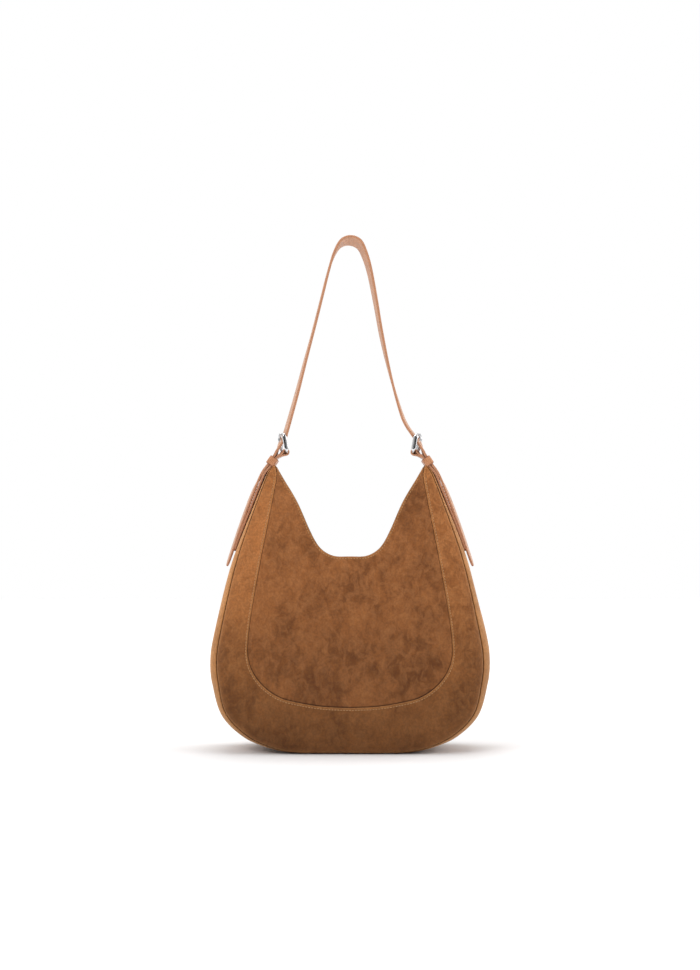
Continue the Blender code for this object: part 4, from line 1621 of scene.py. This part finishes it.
    def tab_stitches(self, side: Side, line: Points, run: Points) -> None:
        """The tab's sewing: a row inside each edge and one across its lower end."""
        along = unit(np.gradient(line, axis=0))
        out = np.cross(along, np.tile((0.0, -side.value, 0.0), (len(line), 1)))
        out *= np.sign(out[:, :1] * side.value)
        surface = line + out * (self.strip.half_thick + 0.05 * MM)
        sewn = (run > 3.0 * MM) & (run < 88.0 * MM)
        inset = self.strip.half_width - 3.4 * MM
        rows = []
        for k, y in enumerate((-inset, inset)):
            rows.append(self.stitching.sew(f"row_{k}", surface[sewn] + (0.0, y, 0.0), out[sewn],
                                           self.finishes.thread, 40 + k))
        low = int(np.argmax(sewn))
        foot = surface[low] + np.linspace(-inset, inset, 20)[:, None] * np.array([0.0, 1.0, 0.0])
        rows.append(self.stitching.sew("row_2", foot, np.repeat(out[low:low + 1], 20, axis=0),
                                       self.finishes.thread, 43))
        attach(join_pieces(f"{side.word}_tab_stitches", rows), "root", "strap_leather")

    def keeper(self, side: Side) -> None:
        """A leather loop with a domed outside and rounded corners."""
        half = (self.layer_offset + self.strip.half_thick + GAP + self.keeper_wall / 2,
                self.strip.half_width + GAP + self.keeper_wall / 2)
        radius = 2.0 * MM
        corners = []
        for a, b, start in ((1, 1, 0.0), (-1, 1, 90.0), (-1, -1, 180.0), (1, -1, 270.0)):
            turn = np.radians(np.linspace(start, start + 90.0, 7))
            corners.append(np.column_stack([a * (half[0] - radius) + radius * np.cos(turn),
                                            b * (half[1] - radius) + radius * np.sin(turn)]))
        ring = resample(np.vstack([*corners, corners[0][:1]]), 72)[:-1]
        normal = unit(np.roll(ring, -1, axis=0) - np.roll(ring, 1, axis=0))
        normal = np.column_stack([normal[:, 1], -normal[:, 0]])
        reach = self.keeper_length / 2
        along = np.array([-1.0, -0.96, -0.86, -0.7, -0.35, 0.0, 0.35, 0.7, 0.86, 0.96, 1.0]) * reach
        crown = np.array([0.40, 0.78, 0.95, 1.0, 1.05, 1.08, 1.05, 1.0, 0.95, 0.78, 0.40])
        edge = np.array([1.0, 1.0, 0.7, 0.1, 0.0, 0.0, 0.0, 0.1, 0.7, 1.0, 1.0])
        wall = self.keeper_wall / 2
        slope = np.array([side.value * math.cos(self.keeper_slope), 0.0, -math.sin(self.keeper_slope)])
        across = np.array([side.value * math.sin(self.keeper_slope), 0.0, math.cos(self.keeper_slope)])
        centre = np.array([side.value * self.keeper_centre[0], 0.0, self.keeper_centre[1]])
        base = centre + ring[:, :1] * across + ring[:, 1:] * np.array([0.0, 1.0, 0.0])
        out = normal[:, :1] * across + normal[:, 1:] * np.array([0.0, 1.0, 0.0])
        outer = (base[:, None, :] + along[None, :, None] * slope
                 + (crown * wall)[None, :, None] * out[:, None, :])
        inner = (base[:, None, :] + along[None, :, None] * slope
                 - (np.minimum(crown, 1.0) * wall)[None, :, None] * out[:, None, :])
        rings = np.concatenate([outer, inner[:, ::-1]], axis=1)
        marks = np.repeat(np.concatenate([edge, edge[::-1]])[None, :], len(rings), axis=0)
        piece = loft(f"{side.word}_keeper_leather", rings, self.finishes.keeper, {"edge": marks}, closed=True)
        attach(piece, f"{side.word}_keeper", "strap_leather", f"{side.word}_keeper")

    def build(self) -> None:
        """Make the strap and both sides' tabs and keepers."""
        self.strap()
        for side in Side:
            self.tab(side)
            self.keeper(side)


@dataclass
class Buckle:
    """A polished frame on its bar, with a curled prong."""

    finishes: Finishes
    side: Side
    hinge: Pair = (0.0837, 0.3765)
    top_bar: Pair = (0.0877, 0.3995)
    toe_in: float = math.radians(13.0)
    bar_radius: float = 1.5 * MM
    rail_extra: float = 1.5 * MM
    half_width: float = 15.7 * MM
    corner: float = 3.2 * MM
    eye_radius: float = 2.65 * MM
    prong_half_width: float = 1.2 * MM
    prong_half_thick: float = 0.8 * MM
    prong_rest: float = 2.5 * MM

    def frame(self) -> None:
        """The rectangular frame, bent from round bar."""
        low, high = np.array(self.hinge), np.array(self.top_bar)
        up = unit(high - low)
        height = float(np.linalg.norm(high - low))
        reach = self.corner
        corners = ((height - reach, self.half_width - reach, 0.0),
                   (height - reach, reach - self.half_width, 90.0),
                   (reach, reach - self.half_width, 180.0), (reach, self.half_width - reach, 270.0))
        path = []
        for along, across, start in corners:
            for angle in np.radians(np.linspace(start, start + 90.0, 8)):
                path.append((along + reach * math.sin(angle), across + reach * math.cos(angle)))
        path = resample(np.array(path + path[:1]), 120)[:-1]
        flat = low + path[:, :1] * up
        line = np.column_stack([self.side.value * flat[:, 0], path[:, 1], flat[:, 1]])
        hinge = np.array([self.side.value * low[0], 0.0, low[1]])
        line = turned(line, hinge, -self.side.value * self.toe_in)
        out = np.array([[self.side.value * up[1], 0.0, -up[0]]])
        out = turned(out, np.zeros(3), -self.side.value * self.toe_in)
        rail = 1.0 - step(np.abs(path[:, 1]) - self.half_width + 3.0 * MM, 2.5 * MM)
        rail *= 1.0 - step(np.minimum(path[:, 0], height - path[:, 0]) - 1.0 * MM, 4.0 * MM)
        piece = tube(f"{self.side.word}_buckle_bar", line, np.repeat(out, len(line), axis=0),
                     self.finishes.steel, self.bar_radius + self.rail_extra * rail, self.bar_radius, True, 24,
                     round_off=0.62)
        attach(piece, f"{self.side.word}_buckle", "polished_steel", f"{self.side.word}_buckle_frame")

    def prong(self) -> None:
        """The prong: curled round the lower bar, resting on the upper one."""
        low, high = np.array(self.hinge), np.array(self.top_bar)
        up = unit(high - low)
        out = np.array([up[1], -up[0]])
        tip = high - low + out * self.prong_rest + up * 1.6 * MM
        heading = math.atan2(tip[1], tip[0])
        leave = heading - math.acos(self.eye_radius / np.linalg.norm(tip))
        arc = np.linspace(leave - math.radians(285.0), leave, 30)
        eye = self.eye_radius * np.column_stack([np.cos(arc), np.sin(arc)])
        share = np.linspace(0.0, 1.0, 16)[1:, None]
        shank = eye[-1] + (tip - eye[-1]) * share
        shank = shank + out * 0.5 * MM * np.sin(math.pi * share)
        flat = low + np.vstack([eye, shank])
        line = flank(flat, self.side)
        hinge = np.array([self.side.value * low[0], 0.0, low[1]])
        line = turned(line, hinge, -self.side.value * self.toe_in)
        wide = turned(np.array([[0.0, 1.0, 0.0]]), np.zeros(3), -self.side.value * self.toe_in)
        shares = np.concatenate([np.ones(len(eye)), np.linspace(1.0, 0.82, len(shank))])
        piece = tube(f"{self.side.word}_prong_bar", line, np.repeat(wide, len(line), axis=0),
                     self.finishes.steel, self.prong_half_width, self.prong_half_thick, False, 16, shares)
        attach(piece, f"{self.side.word}_prong", "polished_steel", f"{self.side.word}_prong")

    def build(self) -> None:
        """Make the frame and its prong."""
        self.frame()
        self.prong()


# Inside the bag

def lathe(name: str, profile: Sequence[Pair], place: Matrix, material: bpy.types.Material,
          sides: int = 40) -> bpy.types.Object:
    """A turned piece.

    Args:
        name: The piece's name.
        profile: Radius and height from the axis at the bottom to the axis at the top.
        place: Puts the piece, turned about its own z, into space.
        material: The piece's material.
        sides: Points round it.

    Returns:
        The new object.
    """
    turn = np.linspace(0.0, 2 * math.pi, sides, endpoint=False)
    rings = np.array([np.column_stack([r * np.cos(turn), r * np.sin(turn), np.full(sides, z)])
                      for r, z in profile])
    faces = loop_faces(len(rings), sides, False)
    faces += [tuple(range(sides)), tuple(range((len(rings) - 1) * sides, len(rings) * sides))]
    return make_mesh(name, moved(rings.reshape(-1, 3), place), faces, material, 45.0)


def moved(points: Points, place: Matrix) -> Points:
    """Points carried from a local frame into space."""
    frame_in = np.array(place)
    return points @ frame_in[:3, :3].T + frame_in[:3, 3]


def pad(name: str, outline: Points, thick: float, edge: float, place: Matrix,
        material: bpy.types.Material, swell: float = 0.0) -> bpy.types.Object:
    """A flat piece with a softened rim, lying in its local x and y.

    Args:
        name: The piece's name.
        outline: Its (x, y) outline.
        thick: Its thickness.
        edge: Radius of the rim.
        place: Puts it into space.
        material: Its material.
        swell: How far its middle rises on the upper side.

    Returns:
        The new object.
    """
    middle = outline.mean(axis=0)
    reach = np.linalg.norm(outline - middle, axis=1, keepdims=True)
    rings, marks = [], []
    turn = np.radians((0.0, 30.0, 60.0, 90.0))
    lower = [(edge * (1.0 - math.sin(a)), -thick / 2 + edge * (1.0 - math.cos(a))) for a in turn]
    upper = [(inset, -height) for inset, height in lower[::-1]]
    shares = (0.75, 0.5, 0.25, 0.06)
    steps = [*[(share, None, -thick / 2) for share in shares[::-1]],
             *[(None, inset, height) for inset, height in reversed(lower)],
             *[(None, inset, height) for inset, height in reversed(upper)],
             *[(share, None, thick / 2) for share in shares]]
    for share, inset, height in steps:
        scale = share if inset is None else 1.0 - inset / reach
        lift = swell * (1.0 - (share or 1.0) ** 2) ** 1.5 if height > 0.0 else 0.0
        flat = middle + (outline - middle) * scale
        rings.append(np.column_stack([flat, np.full(len(flat), height + lift)]))
        marks.append(np.full(len(flat), 0.0 if inset is None else 1.0))
    around = len(outline)
    faces = loop_faces(len(rings), around, False)
    faces += [tuple(range(around)), tuple(range((len(rings) - 1) * around, len(rings) * around))]
    item = make_mesh(name, moved(np.concatenate(rings), place), faces, material)
    set_mark(item, "edge", np.array(marks))
    return item


def rounded(width: float, height: float, radii: Sequence[float]) -> Points:
    """A rectangle's outline with rounded corners.

    Args:
        width: Its size along x.
        height: Its size along y.
        radii: Corner radii, anticlockwise from the corner at +x and +y.

    Returns:
        The outline, evenly spaced.
    """
    corners = []
    for (a, b), radius, start in zip(((1, 1), (-1, 1), (-1, -1), (1, -1)), radii, (0.0, 90.0, 180.0, 270.0)):
        turn = np.radians(np.linspace(start, start + 90.0, 9))
        corners.append(np.column_stack([a * (width / 2 - radius) + radius * np.cos(turn),
                                        b * (height / 2 - radius) + radius * np.sin(turn)]))
    return resample(np.vstack([*corners, corners[0][:1]]), 97)[:-1]


@dataclass
class Interior:
    """The base board, the snap, and the zip pouch with its slider and pull."""

    finishes: Finishes
    shape: BodyShape
    board_size: tuple[float, float, float] = (0.100, 0.084, 0.002)
    board_height: float = 6.2 * MM
    snap_radius: float = 7.0 * MM
    snap_thick: float = 2.0 * MM
    snap_height: float = 0.2270
    snap_share: float = 0.97
    pouch_top: tuple[float, float, float] = (0.0, 0.0170, 0.2120)
    pouch_tilt: float = math.radians(13.5)
    pouch_size: tuple[float, float, float] = (0.130, 0.0030, 0.086)
    zip_drop: float = 18.0 * MM
    tape_size: tuple[float, float, float] = (0.120, 0.0012, 0.022)
    tooth_pitch: float = 2.0 * MM
    teeth_length: float = 0.118
    teeth_step: float = 1.3 * MM
    slider_start: float = -0.052
    slider_step: float = 2.2 * MM
    slider_size: tuple[float, float, float] = (9.5 * MM, 7.5 * MM, 3.0 * MM)
    pull_step: float = 3.1 * MM
    pull_size: tuple[float, float, float] = (6.0 * MM, 17.0 * MM, 1.4 * MM)

    def pouch_frame(self, x: float, y: float, z: float) -> Matrix:
        """A frame on the pouch's tilted plane, whose z points to the front of the bag."""
        plane = Matrix.Translation(self.pouch_top) @ Matrix.Rotation(self.pouch_tilt, 4, "X")
        return plane @ Matrix.Translation((x, y, z)) @ Matrix.Rotation(math.radians(90.0), 4, "X")

    def board(self) -> None:
        """The stiff board that lies on the lining at the bottom."""
        width, depth, thick = self.board_size
        outline = rounded(width, depth, (12.0 * MM,) * 4)
        piece = pad("fibre_base", outline, thick, 0.8 * MM, Matrix.Translation((0.0, 0.0, self.board_height)),
                    self.finishes.board)
        attach(piece, "root", "board", "base_board")

    def snap(self, face: Face) -> None:
        """One half of the magnetic snap, a turned cup or stud on the facing."""
        radius, thick = self.snap_radius, self.snap_thick
        inner = 2.6 * MM
        top = thick / 2
        rim = [(0.2 * MM, -top), (radius - 0.3 * MM, -top), (radius, -top + 0.3 * MM),
               (radius, top - 0.7 * MM), (radius - 0.25 * MM, top - 0.25 * MM), (radius - 0.9 * MM, top)]
        if face is Face.FRONT:
            middle = [(inner + 1.2 * MM, top), (inner + 0.7 * MM, top - 0.25 * MM), (inner, top - 0.9 * MM),
                      (inner - 0.6 * MM, top - 1.1 * MM), (0.2 * MM, top - 1.1 * MM)]
        else:
            middle = [(inner + 1.4 * MM, top - 0.1 * MM), (inner + 0.9 * MM, top - 0.6 * MM),
                      (inner + 0.1 * MM, top - 0.6 * MM), (inner - 0.3 * MM, top + 0.1 * MM),
                      (inner - 0.9 * MM, top + 0.5 * MM), (0.2 * MM, top + 0.6 * MM)]
        place = (Matrix.Translation((0.0, face.value * self.snap_reach(), self.snap_height))
                 @ Matrix.Rotation(math.radians(90.0 * face.value), 4, "X"))
        name = "snap_socket" if face is Face.FRONT else "snap_stud"
        piece = lathe(f"{name}_cap", [*rim, *middle], place, self.finishes.steel)
        attach(piece, "root", "polished_steel", name)

    def snap_reach(self) -> float:
        """How far each snap half's middle is from the bag's middle plane."""
        middle = np.array([float(self.shape.stations)])
        wall = self.shape.panel(middle, self.snap_share, 2 * SUEDE + GAP, Face.BACK)
        return float(wall[0, 1]) - self.snap_thick / 2 - GAP

    def pouch(self) -> None:
        """The flat lining pocket behind the zip, a little full in its middle."""
        width, thick, height = self.pouch_size
        outline = rounded(width, height, (3.0 * MM, 3.0 * MM, 12.0 * MM, 12.0 * MM))
        piece = pad("zip_pouch_cloth", outline, thick, 1.3 * MM, self.pouch_frame(0.0, 0.0, -height / 2),
                    self.finishes.lining)
        attach(piece, "root", "lining", "zip_pouch")

    def tape(self) -> None:
        """The zip's woven tapes, each thickened along its toothed edge."""
        width, thick, height = self.tape_size
        strips = []
        for k, way in enumerate((-1.0, 1.0)):
            half = height / 4 - 0.15 * MM
            outline = rounded(width, 2 * half, (1.5 * MM,) * 4)
            place = self.pouch_frame(0.0, self.tape_depth(), -self.zip_drop + way * (half + 0.15 * MM))
            strips.append(pad(f"tape_{k}", outline, thick, 0.4 * MM, place, self.finishes.tape))
        attach(join_pieces("zip_tapes", strips), "root", "zip_tape", "zip_tape")

    def tape_depth(self) -> float:
        """The tape's local y on the pouch's plane."""
        return -(self.pouch_size[1] + self.tape_size[1]) / 2 - GAP

    def teeth_depth(self) -> float:
        """The teeth's local y on the pouch's plane."""
        return self.tape_depth() - self.teeth_step - GAP

    def slider_depth(self) -> float:
        """The slider's local y on the pouch's plane."""
        return self.teeth_depth() - self.slider_step - GAP

    def teeth(self) -> None:
        """Two rows of small rounded teeth that interlock."""
        count = int(self.teeth_length / self.tooth_pitch)
        depth = self.teeth_depth()
        shape = rounded(1.0 * MM, 1.9 * MM, (0.35 * MM,) * 4)[::4]
        items = []
        for k in range(count):
            x = (k + 0.5) * self.tooth_pitch - self.teeth_length / 2
            for way in (-1.0, 1.0):
                place = self.pouch_frame(x + way * self.tooth_pitch / 4, depth, -self.zip_drop + way * 0.8 * MM)
                items.append(pad("tooth", shape, 1.2 * MM, 0.25 * MM, place, self.finishes.steel))
        attach(join_pieces("zip_teeth_rows", items), "root", "polished_steel", "zip_teeth")

    def slider(self) -> None:
        """The zip's slider: a rounded body with a bridge for the pull."""
        width, height, thick = self.slider_size
        outline = rounded(width, height, (2.2 * MM, 2.8 * MM, 2.8 * MM, 2.2 * MM))
        place = self.pouch_frame(self.slider_start, self.slider_depth(), -self.zip_drop)
        body = pad("slider_body", outline, thick, 0.7 * MM, place, self.finishes.steel)
        angles = np.linspace(0.0, math.pi, 15)
        arch = np.column_stack([3.2 * MM * np.cos(angles), np.zeros(15), 1.3 * MM + 1.1 * MM * np.sin(angles)])
        across = np.tile((0.0, 1.0, 0.0), (15, 1))
        bridge = tube("slider_bridge", moved(arch, place), moved(across, place) - place.translation,
                      self.finishes.steel, 0.8 * MM, 0.45 * MM, sides=12)
        attach(join_pieces("zip_slider_shell", [body, bridge]), "zip_slider", "polished_steel", "zip_slider")

    def pull(self) -> None:
        """The pull: a slim leather tongue on a small steel ring."""
        width, height, thick = self.pull_size
        depth = self.slider_depth() - self.pull_step
        pivot = self.pouch_frame(self.slider_start, depth, -self.zip_drop).translation
        upright = Matrix.Rotation(math.radians(90.0), 4, "X")
        outline = rounded(width, height, (1.6 * MM, 1.6 * MM, 2.9 * MM, 2.9 * MM))
        low = pivot + Vector((0.0, 0.0, -12.5 * MM))
        tongue = pad("pull_tongue", outline, thick, 0.5 * MM, Matrix.Translation(low) @ upright,
                     self.finishes.keeper)
        attach(tongue, "zip_pull", "strap_leather", "zip_pull")
        turn = np.linspace(0.0, 2 * math.pi, 32, endpoint=False)
        ring = np.column_stack([1.7 * MM * np.cos(turn), 2.9 * MM * np.sin(turn), np.zeros(32)])
        link = Matrix.Translation(pivot + Vector((0.0, 0.0, -1.9 * MM))) @ upright
        wide = np.tile(np.array(link.to_3x3() @ Vector((0.0, 0.0, 1.0))), (32, 1))
        piece = tube("pull_link", moved(ring, link), wide, self.finishes.steel, 0.45 * MM, 0.45 * MM,
                     closed=True, sides=12)
        attach(piece, "zip_pull", "polished_steel")

    def build(self) -> None:
        """Make everything inside the bag."""
        self.board()
        for face in Face:
            self.snap(face)
        self.pouch()
        self.tape()
        self.teeth()
        self.slider()
        self.pull()


# Floor, light and camera

@dataclass
class Studio:
    """A pale seamless floor, soft light and the camera."""

    camera_distance: float = 1.9
    camera_height: float = 0.25
    aim_height: float = 0.335
    lens: float = 55.1
    floor_half: float = 6.0
    floor_drop: float = 0.4 * MM

    def floor(self) -> None:
        """A pale floor under the bag."""
        half = self.floor_half
        corners = np.array([(-half, -half, -self.floor_drop), (half, -half, -self.floor_drop),
                            (half, half, -self.floor_drop), (-half, half, -self.floor_drop)])
        material, wire, shader = blank_material("pale_floor")
        soft = wire.cloud(wire.place(), 2.0, 2.0)
        wire.put(shader.inputs["Base Color"], wire.mix(soft, rgba((0.84, 0.845, 0.85)),
                                                       rgba((0.86, 0.86, 0.865))))
        where = wire.add("ShaderNodeVectorMath")
        where.operation = "LENGTH"
        wire.put(where.inputs[0], wire.place())
        far = wire.spread(where.outputs["Value"], 0.35, 1.6, 0.0, 0.31)
        glow = wire.add("ShaderNodeCombineColor", Red=far, Green=far, Blue=far)
        wire.put(shader.inputs["Emission Color"], glow.outputs["Color"])
        set_shader(shader, Roughness=0.9, Specular_IOR_Level=0.1, Emission_Strength=1.0)
        make_mesh("studio_floor", corners, [(0, 1, 2, 3)], material)

    def world(self) -> None:
        """Even white surroundings, a little darker low in front so that metal shows its form."""
        world = bpy.data.worlds.new("studio")
        bpy.context.scene.world = world
        world.use_nodes = True
        wire = Wiring(world.node_tree)
        shade = world.node_tree.nodes["Background"]
        where = wire.add("ShaderNodeTexCoord").outputs["Generated"]
        parts = wire.add("ShaderNodeSeparateXYZ", Vector=where)
        high = wire.spread(parts.outputs["Z"], -0.35, 0.75, 0.42, 1.05)
        side = wire.spread(wire.math("ABSOLUTE", parts.outputs["X"]), 0.30, 0.60, 0.05, 1.0)
        front = wire.spread(parts.outputs["Y"], -0.75, 0.1, 0.0, 1.0)
        low = wire.math("MAXIMUM", side, front)
        seen = wire.add("ShaderNodeLightPath").outputs["Is Camera Ray"]
        light = wire.math("MULTIPLY", high, low)
        strength = wire.add("ShaderNodeMix", Factor=seen, A=light, B=1.0)
        wire.put(shade.inputs["Strength"], strength.outputs[0])
        shade.inputs["Color"].default_value = (1.0, 1.0, 1.0, 1.0)

    def lamp(self, name: str, place: tuple[float, float, float], size: float, power: float,
             aim: tuple[float, float, float] = (0.0, 0.0, 0.2)) -> None:
        """A square soft box.

        Args:
            name: The lamp's name.
            place: Where it stands.
            size: The length of its sides.
            power: Its power in watts.
            aim: The point that it faces.
        """
        light = bpy.data.lights.new(name, "AREA")
        light.size = size
        light.energy = power
        item = bpy.data.objects.new(name, light)
        item.location = place
        item.rotation_euler = (Vector(aim) - Vector(place)).to_track_quat("-Z", "Y").to_euler()
        bpy.context.scene.collection.objects.link(item)

    def camera(self) -> None:
        """The camera in front of the bag, a little below its middle."""
        data = bpy.data.cameras.new("camera")
        data.lens = self.lens
        data.sensor_width = 36.0
        item = bpy.data.objects.new("camera", data)
        item.location = (0.0, -self.camera_distance, self.camera_height)
        aim = Vector((0.0, 0.0, self.aim_height))
        item.rotation_euler = (aim - item.location).to_track_quat("-Z", "Y").to_euler()
        bpy.context.scene.collection.objects.link(item)
        bpy.context.scene.camera = item

    def build(self) -> None:
        """Set up the floor, the light and the camera."""
        bpy.context.scene.view_settings.view_transform = "Standard"
        self.floor()
        self.world()
        self.lamp("key", (-1.5, -2.1, 2.2), 1.6, 35.0)
        self.lamp("fill", (2.3, -0.9, 1.2), 1.4, 12.0)
        self.lamp("top", (0.0, 0.2, 2.6), 1.8, 24.0, (0.0, 0.0, 0.3))
        self.lamp("left_rim", (-1.8, 0.7, 0.7), 1.0, 3.0)
        self.lamp("right_rim", (1.8, 0.7, 0.7), 1.0, 9.0)
        self.camera()


def main() -> None:
    """Build the studio and every part of the bag."""
    logging.basicConfig(level=logging.INFO, format="%(name)s: %(message)s")
    Studio().build()
    finishes = Finishes()
    body = Body(finishes)
    body.build()
    Leather(finishes, body.shape, body.stitching).build()
    for side in Side:
        Buckle(finishes, side).build()
    Interior(finishes, body.shape).build()


if __name__ == "__main__":
    main()
